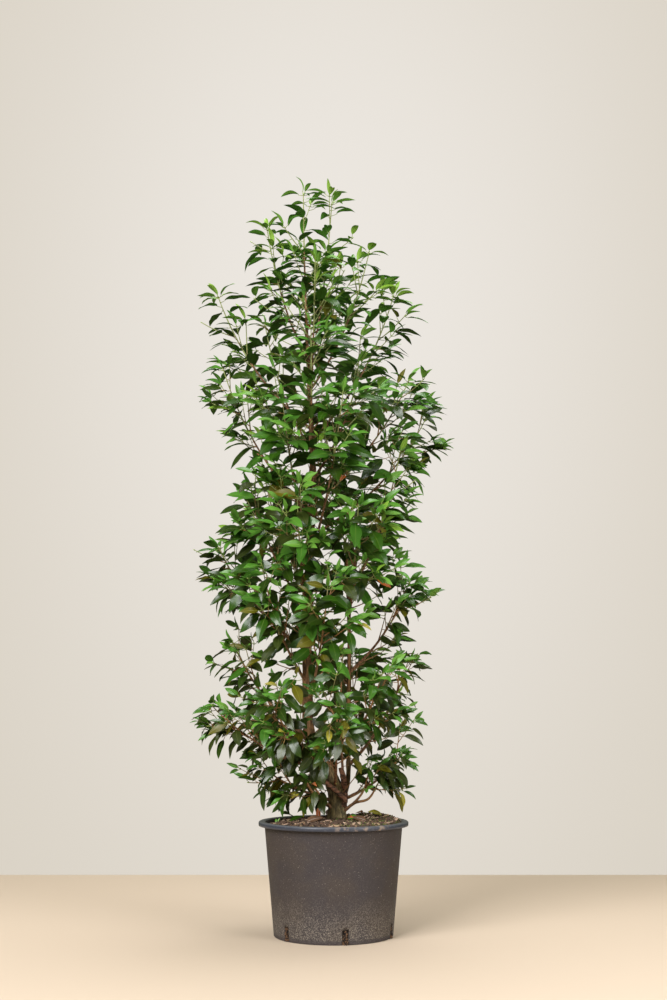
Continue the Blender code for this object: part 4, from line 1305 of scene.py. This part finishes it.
for order, row in enumerate(WOOD):
    build_wood(order, *row)

# %% [markdown]
# ## Where the leaves sit
#
# Leaves stand singly along a shoot, turned by the golden angle, some 17 to 34 mm apart, with a
# tuft at the tip. A leaf spreads from its shoot, turns outwards, and droops more towards the foot
# of the plant. It tries a few turns round its shoot until it has room, or it is left out.

# %% Placing leaves
LEAF_LENGTH = 0.083
LEAF_TURN_OUT = 0.24
LEAF_ANGLE = math.radians(60)
LEAF_ANGLE_SPREAD = 0.15
LEAF_ROLL = 0.42
HANG_SPREAD = 0.17
STALK_LENGTH = 0.016
# the tables by height hold the heights and then the value at each
# distance between leaves along a shoot
LEAF_GAPS = ((0.40, 0.75, 1.20, 1.60, 1.85), (0.0175, 0.0325, 0.034, 0.032, 0.0235))
# size of a leaf, and how much shorter youth makes it
LEAF_SIZES = ((0.5, 1.1, 1.5, 1.9), (0.74, 1.0, 1.05, 0.92))
YOUNG_SHORTER = ((1.50, 1.85), (0.36, 0.24))
# how far the upper face turns to the outside and, at the front, to the light, and how far it rolls
FACES_OUT = ((0.50, 1.20, 1.90), (1.40, 0.70, 0.20))
FACES_FRONT = ((0.50, 1.20, 1.90), (1.05, 0.75, 0.05))
ROLL_SHARES = ((0.50, 1.20, 1.90), (1.0, 0.8, 0.5))
# how far leaves hang below their heading, in radians, and the share of its own rise that is kept
HANGS = ((0.35, 0.80, 1.40, 1.95), (0.90, 0.76, 0.50, 0.30))
RISES_KEPT = ((1.00, 1.60), (0.55, 0.36))
# turns round the shoot that a leaf tries until it has room, and what it shrinks at each
LEAF_TURNS = np.radians((0, 36, -36, 72, -72))
SHRINK = 0.03
# spread and youth of the rosette at a tip, of which only the first few open inside the crown
TUFT_SPREADS = np.radians((12, 44, 58, 66, 72))
TUFT_YOUTHS = np.array((1.3, 0.95, 0.88, 0.78, 0.66))
OUTER_TUFTS = (5, 4, 3, 3, 3, 3)
INNER_TUFT = 2
OPEN_TOP = 1.70
TUFT_SHARE = 0.995
# leaves spread by less than this stand up with their shoot
UPRIGHT_SPREAD = 0.5
# share of the shoot of the first leaf, by order, and of the last
FIRST_LEAF = (0.00, 0.20, 0.22, 0.22, 0.28, 0.30)
LAST_LEAF = 0.97

Leaves = namedtuple("Leaves", "root base direction upper length youth owner shoot height")


def leaf_heading(bearer, angle, spread):
    """Spread from the bearer: sin(spread) * around + cos(spread) * bearer."""
    return swing(spread, bearer, swing(angle, *side_axes(bearer)))


def leaf_pointing(heading, outward, rise):
    """Turned outwards on the level, then set to its rise: cos(rise) * level + sin(rise) * up."""
    level = heading * (1, 1, 0) + LEAF_TURN_OUT * outward
    return swing(rise, unit(level + (1e-9, 0, 0)), UP)


def leaf_facing(pointing, outward, face_out, light, roll):
    """The upper side: towards the sky, the outside and the light, square to the leaf, then rolled."""
    wanted = UP + face_out[:, None] * outward + light[:, None] * FRONT_LIGHT
    facing = unit(wanted - (wanted * pointing).sum(1, keepdims=True) * pointing)
    return swing(roll, facing, np.cross(pointing, facing))


def numbered(counts):
    """For groups of these sizes: the group of every item, and its number in the group."""
    group = np.repeat(np.arange(len(counts)), counts)
    return group, np.arange(len(group)) - np.repeat(np.cumsum(counts) - counts, counts)


def leaf_sites(shoots, rng):
    """Shoot, share, number, spread and youth of every leaf, along the shoots and then at their tips."""
    lengths = np.linalg.norm(np.diff(shoots.paths, axis=1), axis=2).sum(1)
    first = FIRST_LEAF[shoots.order] + (LIMB_BARE[shoots.owner] if shoots.order == 0 else 0 * lengths)
    gap = np.interp(shoots.paths[:, len(shoots.paths[0]) // 2, 2], *LEAF_GAPS)
    counts = np.maximum(np.round(lengths * (1 - first) / gap).astype(int), 2)
    shoot, number = numbered(counts)
    first = first[shoot]
    share = first + (number + 0.5) / counts[shoot] * (LAST_LEAF - first)
    share += rng.uniform(-0.2, 0.2, len(shoot)) / counts[shoot] * (1 - first)
    ends = shoots.paths[:, -1]
    outer = (np.linalg.norm(outward_at(ends), axis=1) > 0.999) | (ends[:, 2] > OPEN_TOP)
    tip, tuft = numbered(np.where(outer, OUTER_TUFTS[shoots.order], INNER_TUFT))
    spread = np.concatenate([np.full(len(shoot), LEAF_ANGLE), TUFT_SPREADS[tuft]])
    spread += rng.uniform(-LEAF_ANGLE_SPREAD, LEAF_ANGLE_SPREAD, len(spread))
    from_tip = (1 - share) * lengths[shoot]
    youth = np.concatenate([0.6 * np.exp(-from_tip / 0.016), TUFT_YOUTHS[tuft]])
    shares = np.concatenate([share, np.full(len(tip), TUFT_SHARE)])
    numbers = np.concatenate([number, counts[tip] + tuft])
    return np.concatenate([shoot, tip]), shares, numbers, spread, youth


def place_leaves(shoots):
    """All leaves of one order of shoots, each turned until it has room."""
    rng = np.random.default_rng([SEED, 7, shoots.order])
    shoot, share, number, spread, youth = leaf_sites(shoots, rng)
    root, bearer = along_paths(shoots.paths, shoot, share)
    phase = rng.uniform(0, 2 * math.pi, len(shoots.owner))[shoot]
    owner, outward = shoots.owner[shoot], outward_at(root)
    count, height = len(root), root[:, 2]
    length = LEAF_LENGTH * (1 - np.interp(height, *YOUNG_SHORTER) * youth) * rng.uniform(0.84, 1.12, count)
    length *= np.interp(height, *LEAF_SIZES)
    stalk = STALK_LENGTH * (1 - 0.35 * youth) * rng.uniform(0.8, 1.25, count)
    hang = np.interp(height, *HANGS) + rng.normal(0, HANG_SPREAD, count)
    hang *= 1 - 0.85 * np.minimum(youth, 1)
    rise_kept = np.interp(height, *RISES_KEPT)
    face_out = np.interp(height, *FACES_OUT)
    light = np.interp(height, *FACES_FRONT) * np.clip(0.7 - root[:, 1] / 0.25, 0, 1)
    roll_share = np.interp(height, *ROLL_SHARES)
    base, direction, upper = np.zeros((3, count, 3))
    placed = np.zeros(count, bool)
    for attempt, turn in enumerate(LEAF_TURNS):
        todo = np.flatnonzero(~placed)
        angle = phase[todo] + number[todo] * GOLDEN_ANGLE + turn
        heading = leaf_heading(bearer[todo], angle, spread[todo])
        own_rise = np.arcsin(np.clip(heading[:, 2], -1, 1))
        rise = rise_kept[todo] * own_rise - hang[todo]
        rise = np.where(spread[todo] < UPRIGHT_SPREAD, np.maximum(rise, 0.75 * own_rise), rise)
        pointing = leaf_pointing(heading, outward[todo], rise)
        start = root[todo] + stalk[todo, None] * unit(heading + 0.4 * pointing)
        roll = rng.uniform(-LEAF_ROLL, LEAF_ROLL, len(todo)) * roll_share[todo]
        above = leaf_facing(pointing, outward[todo], face_out[todo], light[todo], roll)
        shrink = 1 - SHRINK * attempt
        tip = start + (length[todo] * shrink)[:, None] * pointing
        near = 0.30 * (tip - start)
        margin = near + 0.155 * length[todo, None] * np.cross(above, pointing)
        samples = np.stack([start, start + margin, start + 2 * near - margin, (start + tip) / 2, tip], 1)
        good = has_room(owner[todo], samples, LEAF_SLACK)
        good &= clear_of_foot(samples.reshape(-1, 3)).reshape(-1, samples.shape[1]).all(1)
        chosen = todo[good]
        base[chosen], direction[chosen], upper[chosen] = start[good], pointing[good], above[good]
        length[chosen] *= shrink
        placed[chosen] = True
    made = Leaves(root, base, direction, upper, length, youth, owner, shoot, height)
    print(f"order {shoots.order}: {placed.sum()} of {count} leaves placed")
    return Leaves(*[values[placed] for values in made])


leaf_sets = [place_leaves(shoots) for shoots in GROWTH]
spray = np.concatenate([1000 * order + leaves.shoot for order, leaves in enumerate(leaf_sets)])
leaves = Leaves(*[np.concatenate(values) for values in zip(*leaf_sets)])._replace(shoot=spray)
print(f"{len(leaves.root)} leaves in all")

# %% [markdown]
# ## The shape of a leaf
#
# The leaf is a long oval drawn out to a fine point, folded up along its midrib, waved along its
# edge and arched from base to tip. Its half width at share s of its length is proportional to
# s^0.72 * (1 - s)^1.02, and its midrib is an arc of a circle. Six columns make the upper face,
# with a strip for the pale midrib, and the lower face runs from each margin to one keel line.

# %% One formula for every leaf
LEAF_ROWS = 9
# half width at the widest, as a share of the length, by height
HALF_WIDTHS = ((1.30, 1.80), (0.206, 0.176))
LEAF_BASE_POWER = 0.72
LEAF_TIP_POWER = 1.02
LEAF_WIDEST = max(s**LEAF_BASE_POWER * (1 - s) ** LEAF_TIP_POWER for s in np.linspace(0.3, 0.5, 21))
# how far the midrib bends over from base to tip, in radians, by height
BENDS = ((0.50, 1.00, 1.60, 1.85), (0.80, 0.62, 0.66, 0.95))
RIB_HALF_WIDTH = 0.0007
LEAF_THICKNESS = 0.0006
ROW_SHARES = np.linspace(0.0, 1.0, LEAF_ROWS + 2)[1:-1] ** 0.92


def leaf_faces():
    """Faces of one leaf over its numbered places, and the finish of each: blade, rib, underside."""
    top = grid_faces(LEAF_ROWS, 6)
    column = top[:, 0] % 6
    base, tip = LEAF_ROWS * 7, LEAF_ROWS * 7 + 1
    last = (LEAF_ROWS - 1) * 6
    c = np.arange(5)
    base_fan = fan(base, c + 1, c)
    tip_fan = fan(tip, last + c, last + c + 1)
    row = np.arange(LEAF_ROWS - 1)
    under = LEAF_ROWS * 6 + row
    left, right = row * 6, row * 6 + 5
    low_left = np.stack([left, left + 6, under + 1, under], 1)
    low_right = np.stack([under, under + 1, right + 6, right], 1)
    end = LEAF_ROWS * 7 - 1
    low_ends = np.array([
        (base, 0, LEAF_ROWS * 6), (base, LEAF_ROWS * 6, 5), (tip, end, last), (tip, last + 5, end)])
    four_sided = np.vstack([top, low_left, low_right])
    three_sided = np.vstack([base_fan, tip_fan, low_ends])
    finish = np.concatenate([
        (column == 2).astype(int), np.full(len(row) * 2, 2),
        (c == 2).astype(int), (c == 2).astype(int), np.full(4, 2)])
    return [four_sided, three_sided], finish


def leaf_places(leaves, rng):
    """Places of every leaf: arc of the midrib, plus offsets to the side and to its upper face."""
    def draw(low, high, columns=1):
        return rng.uniform(low, high, (count, columns))

    count = len(leaves.root)
    youth = leaves.youth[:, None]
    length = leaves.length[:, None]
    bend = np.interp(leaves.height, *BENDS)[:, None] * draw(0.5, 1.5)
    fold = draw(-0.08, 0.32) + 0.30 * youth
    wave = draw(0.02, 0.12)
    phase = draw(0, 2 * math.pi, 2)
    waves = draw(1.4, 2.4)
    twist = draw(-0.35, 0.35)
    sickle = draw(-0.10, 0.10)
    width = np.interp(leaves.height, *HALF_WIDTHS)[:, None] * draw(0.86, 1.14) * (1 - 0.15 * youth)

    s = ROW_SHARES[None]
    ends = np.array((0.0, 1.0))[None]
    grow = s**LEAF_BASE_POWER * (1 - s) ** LEAF_TIP_POWER / LEAF_WIDEST
    half = width * length * grow
    rib = np.minimum(RIB_HALF_WIDTH * (1.15 - s), 0.3 * half)
    half_row = np.stack([half, (half + rib) / 2, rib], -1)
    across = np.concatenate([-half_row, half_row[..., ::-1]], -1)
    share = across / half[..., None]

    angle = phase[:, None, :1] + 2 * math.pi * waves[..., None] * s[..., None]
    side_phase = np.where(share > 0, phase[:, None, 1:], 0.0)
    lift = np.abs(across) * np.sin(fold)[..., None] * (1 - 0.30 * np.abs(share))
    lift += wave[..., None] * half[..., None] * np.abs(share) * np.sin(angle + side_phase)
    lift[..., 2:4] -= 0.0003
    flat = across * np.cos(fold)[..., None]

    below = lift - LEAF_THICKNESS * (1.2 - s[..., None])
    below_left = 2 * below[..., 1] - lift[..., 0]
    below_right = 2 * below[..., 4] - lift[..., 5]
    under_lift = np.minimum(below[..., 2], np.minimum(below_left, below_right))
    flat = np.concatenate([flat.reshape(count, -1), np.zeros((count, LEAF_ROWS + 2))], 1)
    lift = np.concatenate([lift.reshape(count, -1), under_lift, np.zeros((count, 2))], 1)
    along = np.concatenate([np.repeat(s, 6, 1), s, ends], 1)

    turn = twist * (along - 0.2)
    flat, lift = flat * np.cos(turn) - lift * np.sin(turn), flat * np.sin(turn) + lift * np.cos(turn)
    slope = bend * (0.5 - along)
    forward = (np.sin(bend / 2) - np.sin(slope)) / bend * length
    upward = (np.cos(slope) - np.cos(bend / 2)) / bend * length
    flat = flat + sickle * length * along**2
    forward, upward = forward - lift * np.sin(slope), upward + lift * np.cos(slope)

    side = np.cross(leaves.direction, leaves.upper)
    places = leaves.base[:, None] + forward[..., None] * leaves.direction[:, None]
    places += flat[..., None] * side[:, None] + upward[..., None] * leaves.upper[:, None]
    return places


# %% [markdown]
# ## Colours by spray
#
# Old leaves are a deep green, dull low down, and the newest are a bright yellow green. The colour
# of a leaf follows its youth, its height, how far out in the crown it sits and one random number
# for its spray, so whole tips are fresher or darker than their neighbours. Leaves deep in the crown
# take darker tints and those at its outside brighter ones, as painted shade and light, and the blue
# in the green, bright and fresh blades is painted sheen. Each tint is a piece of its own with
# finishes for blade, midrib and underside. Olive leaves turn up singly, and a handful of odd ones
# have set places.

# %% Tints
# vigour by height, before that of the spray and the leaf is added
VIGOURS = ((0.35, 0.70, 1.15, 1.60, 1.90), (0.00, 0.16, 0.34, 0.42, 1.05))
# share of olive leaves, by height
OLIVE_SHARES = ((0.35, 0.90, 1.50), (0.100, 0.036, 0.010))
# the blue in the green, bright and fresh blades is painted sheen
# name: share of the leaves, blade, midrib, underside, roughness, shine
TINTS = {
    "olive": (0.00, (0.100, 0.092, 0.004), (0.190, 0.180, 0.020), (0.140, 0.140, 0.012), 0.42, 0.40),
    "dull": (0.12, (0.031, 0.046, 0.006), (0.090, 0.115, 0.028), (0.052, 0.078, 0.009), 0.34, 0.50),
    "deep": (0.14, (0.020, 0.048, 0.003), (0.080, 0.120, 0.022), (0.042, 0.080, 0.007), 0.30, 0.52),
    "dark": (0.14, (0.022, 0.070, 0.003), (0.088, 0.150, 0.022), (0.041, 0.104, 0.007), 0.29, 0.52),
    "green": (0.17, (0.040, 0.128, 0.011), (0.120, 0.210, 0.034), (0.058, 0.162, 0.017), 0.30, 0.50),
    "bright": (0.21, (0.072, 0.212, 0.021), (0.164, 0.290, 0.046), (0.090, 0.236, 0.027), 0.35, 0.42),
    "fresh": (0.17, (0.115, 0.275, 0.034), (0.224, 0.350, 0.062), (0.148, 0.305, 0.042), 0.40, 0.34),
    "young": (0.05, (0.185, 0.335, 0.034), (0.310, 0.440, 0.075), (0.240, 0.400, 0.055), 0.44, 0.28),
}
# leaves of an odd colour: colour, size, and the places (x, height) whose nearest front leaf takes it
ODD_TINTS = {
    "rust": ((0.400, 0.105, 0.022), 0.70, [(0.151, 0.91), (-0.060, 0.39), (0.02, 1.18)]),
    "dry": ((0.130, 0.070, 0.038), 0.62, [(0.066, 0.46), (0.070, 0.39), (0.10, 0.62)]),
    "yellowed": (
        (0.290, 0.255, 0.024), 0.85,
        [(0.050, 0.545), (-0.132, 0.537), (0.162, 0.357), (-0.115, 0.356), (-0.035, 0.52), (0.13, 0.376),
         (-0.20, 0.66), (0.10, 0.80)]),
    "red": ((0.420, 0.040, 0.026), 0.60, [(-0.059, 1.595)]),
}


def vigour_and_shade(leaves):
    """0 for an old low leaf deep in the crown, over 1 for a new one at the outside of the top. Its part
    for how far out a leaf sits is painted shade and light.
    """
    rng = np.random.default_rng([SEED, 9])
    by_spray = rng.normal(0, 0.20, leaves.shoot.max() + 1)[leaves.shoot]
    by_leaf = rng.normal(0, 0.09, len(leaves.root))
    height = np.interp(leaves.height, *VIGOURS)
    # how far out the leaf sits: outer leaves get brighter tints and inner ones darker, as painted light
    # and shade
    out = np.clip(np.linalg.norm(outward_at(leaves.base), axis=1), 0, 1)
    youth = np.minimum(leaves.youth, 1)
    return youth * (0.30 + 0.45 * out) + height + 0.20 * out + by_spray + by_leaf


def sharpen_margins(mesh, step):
    """Marks edges between two margin places or two keel places, where the shading has to break."""
    ends = np.empty(2 * len(mesh.edges), np.int32)
    mesh.edges.foreach_get("vertices", ends)
    place = ends % step
    blade_end = LEAF_ROWS * 6
    on_margin = np.isin(place % 6, (0, 5)) & (place < blade_end) | (place >= step - 2)
    on_keel = place >= blade_end
    sharp = on_margin.reshape(-1, 2).all(1) | on_keel.reshape(-1, 2).all(1)
    mesh.edges.foreach_set("use_edge_sharp", sharp)


def leaf_piece(name, places, finishes, replaced=FOLIAGE_NODES):
    """Joins the leaves at places (leaf, place, 3) into one piece."""
    faces, face_finish = leaf_faces()
    count, step = places.shape[:2]
    blocks = [repeated(block, count, step) for block in faces]
    split = len(faces[0])
    order = [np.tile(face_finish[:split], count), np.tile(face_finish[split:], count)]
    piece = make_piece(name, places.reshape(-1, 3), blocks, finishes, replaced, np.concatenate(order))
    sharpen_margins(piece.data, step)
    print(f"  {count} leaves")


def deal_tints(leaves):
    """Number of each leaf's tint: by its youth, height, spray, chance and place in the crown (painted
    shade inside, painted light outside), but an odd tint for those nearest the odd places.
    """
    strength = vigour_and_shade(leaves)
    shares = np.cumsum([values[0] for values in TINTS.values()])
    tint = 1 + np.searchsorted(np.quantile(strength, shares[1:-1]), strength)
    olive_share = np.interp(leaves.height, *OLIVE_SHARES)
    tint[np.random.default_rng([SEED, 10]).random(len(tint)) < olive_share] = 0
    middle = leaves.base + 0.5 * leaves.length[:, None] * leaves.direction
    for number, (_, _, spots) in enumerate(ODD_TINTS.values()):
        for x, height in spots:
            gap = np.hypot(middle[:, 0] - x, middle[:, 2] - height) + 0.25 * middle[:, 1]
            tint[gap.argmin()] = len(TINTS) + number
    return tint


def build_leaves():
    """One piece for each tint, with its finishes for blade, midrib and underside."""
    tint = deal_tints(leaves)
    sizes = np.array([1.0] * len(TINTS) + [size for _, size, _ in ODD_TINTS.values()])[tint]
    places = leaf_places(leaves._replace(length=leaves.length * sizes), np.random.default_rng([SEED, 8]))
    for number, (name, (_, blade, rib, under, roughness, shine)) in enumerate(TINTS.items()):
        LEAF_FINISHES[name] = [
            Finish(name + "_blade", blade, roughness, Specular_IOR_Level=shine),
            Finish(name + "_midrib", rib, 0.5, Specular_IOR_Level=0.35),
            Finish(name + "_underside", under, 0.6, Specular_IOR_Level=0.30),
        ]
        leaf_piece(name + "_leaves", places[tint == number], LEAF_FINISHES[name])
    for number, (name, (colour, _, _)) in enumerate(ODD_TINTS.items()):
        paler = tuple(0.25 + 0.6 * value for value in colour)
        blade = Finish(name + "_blade", colour, 0.6, Specular_IOR_Level=0.3)
        LEAF_FINISHES[name] = [blade, Finish(name + "_midrib", paler, 0.6), blade]
        leaf_piece(name + "_leaves", places[tint == len(TINTS) + number], LEAF_FINISHES[name])


LEAF_FINISHES = {}
build_leaves()

# %% [markdown]
# ## Fallen leaves
#
# The same shape serves for the leaves that lie on the compost. Two tiny ones make a seedling.

# %% Leaves on the compost
# tint, x, y, heading and rise in degrees, and length
FALLEN_LEAVES = (
    ("bright", 0.036, -0.040, 10, 12, 0.032), ("rust", 0.032, -0.055, -55, 8, 0.034),
    ("rust", -0.040, -0.030, 100, 78, 0.030), ("dark", -0.116, -0.045, 8, 16, 0.040),
    ("dry", 0.085, -0.085, 150, 10, 0.046), ("dry", -0.070, -0.100, 30, 10, 0.052),
    ("yellowed", 0.130, 0.020, 200, 12, 0.044), ("dry", -0.020, 0.100, 60, 8, 0.055),
    ("rust", 0.060, 0.120, 300, 10, 0.048), ("dull", -0.110, 0.060, 240, 14, 0.060),
    ("bright", -0.152, -0.050, 80, 50, 0.012), ("fresh", -0.147, -0.048, 20, 50, 0.012),
)


def fallen_leaves(rows):
    """The same leaf shape, laid on the soil by heading and rise, with its upper side up and forward."""
    x, y, heading, rise, length = np.array([row[1:] for row in rows], float).T
    heading, rise = np.radians(heading), np.radians(rise)
    base = np.stack([x, y, soil_height(x, y) + 0.0065], 1)
    level = np.stack([np.cos(heading), np.sin(heading), 0 * heading], 1)
    direction = swing(rise, level, UP)
    wanted = np.array((0.0, -0.7, 1.0))
    upper = unit(wanted - (direction @ wanted)[:, None] * direction)
    none = np.zeros(len(rows))
    return Leaves(base, base, direction, upper, length, none, none, none, base[:, 2])


for name in dict.fromkeys(row[0] for row in FALLEN_LEAVES):
    rows = [row for row in FALLEN_LEAVES if row[0] == name]
    shapes = leaf_places(fallen_leaves(rows), np.random.default_rng([SEED, 12, len(name)]))
    leaf_piece("fallen_" + name, shapes, LEAF_FINISHES[name], ["compost"])

# %% [markdown]
# ## Stalks
#
# A stalk runs from the middle of the shoot to a little way under the blade, so that it never shows
# a gap. Stalks of vigorous leaves and of leaves near the crown's outside are green, and the others are
# reddish.

# %% Leaf stalks
STALK_SIDES = 3
STALK_STEPS = 4
STALK_RADII = (0.00115, 0.00075)
STALK_OVERLAP = 0.004
STALK_BOW = 0.10
GREEN_FROM = 0.55


def build_stalks(name, colour, chosen):
    """From the middle of the shoot to the leaf's base, bowed so that it lies under the blade."""
    start, end = leaves.root[chosen], leaves.base[chosen]
    t = np.linspace(0, 1, STALK_STEPS)[:, None]
    span = end + STALK_OVERLAP * leaves.direction[chosen] - start
    paths = start[:, None] + t * span[:, None]
    paths = paths - STALK_BOW * np.linalg.norm(span, axis=1)[:, None, None] * (t * (1 - t)) * UP
    radii = np.broadcast_to(np.linspace(*STALK_RADII, STALK_STEPS), paths.shape[:2])
    tube_piece(name + "s", paths, radii, STALK_SIDES, [Finish(name, colour, 0.5)], FOLIAGE_NODES)


# the tint number, with its painted shade inside the crown, picks green or reddish stalks
is_young_or_outer = vigour_and_shade(leaves) > GREEN_FROM
build_stalks("red_stalk", (0.340, 0.185, 0.060), ~is_young_or_outer)
build_stalks("green_stalk", (0.280, 0.340, 0.090), is_young_or_outer)

# %% [markdown]
# ## Buds
#
# A pointed bud ends every shoot and a smaller one sits in the angle above every leaf stalk.

# %% Buds
BUD_SIDES = 4
BUD_SHAPE = (0.55, 1.0, 0.15)


def build_buds(finish, start, direction, length, radius):
    """Pointed tubes of three rings, from each start along its direction."""
    t = np.linspace(0, 1, len(BUD_SHAPE))[:, None]
    paths = start[:, None] + length * t * direction[:, None]
    radii = np.broadcast_to(radius * np.array(BUD_SHAPE), paths.shape[:2])
    name = finish.material.name + "s"
    tube_piece(name, paths, radii, BUD_SIDES, [finish], FOLIAGE_NODES)


tips = np.vstack([shoots.paths[:, -1] for shoots in GROWTH])
tip_ways = np.vstack([unit(shoots.paths[:, -1] - shoots.paths[:, -2]) for shoots in GROWTH])
axil_ways = unit(unit(leaves.base - leaves.root) + 1.2 * UP)
build_buds(Finish("tip_bud", (0.30, 0.42, 0.09), 0.5), tips - 0.001 * tip_ways, tip_ways, 0.0075, 0.0015)
build_buds(Finish("axil_bud", (0.16, 0.13, 0.045), 0.55), leaves.root, axil_ways, 0.0032, 0.0010)

total = 0
for piece in bpy.data.objects:
    if piece.type == "MESH" and "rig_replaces" in piece:
        total += sum(len(face.vertices) - 2 for face in piece.data.polygons)
print("triangles in all, before the pot's wall:", total)

# %% [markdown]
# ## Checking the size
#
# The dressed plant's box is set against the model's own, and how far each corner has grown is printed.

# %% The two boxes
low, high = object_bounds()
for corner, cad_corner in ((low, cad_low), (high, cad_high)):
    print("grown by", [round(a - b, 4) for a, b in zip(corner, cad_corner)])
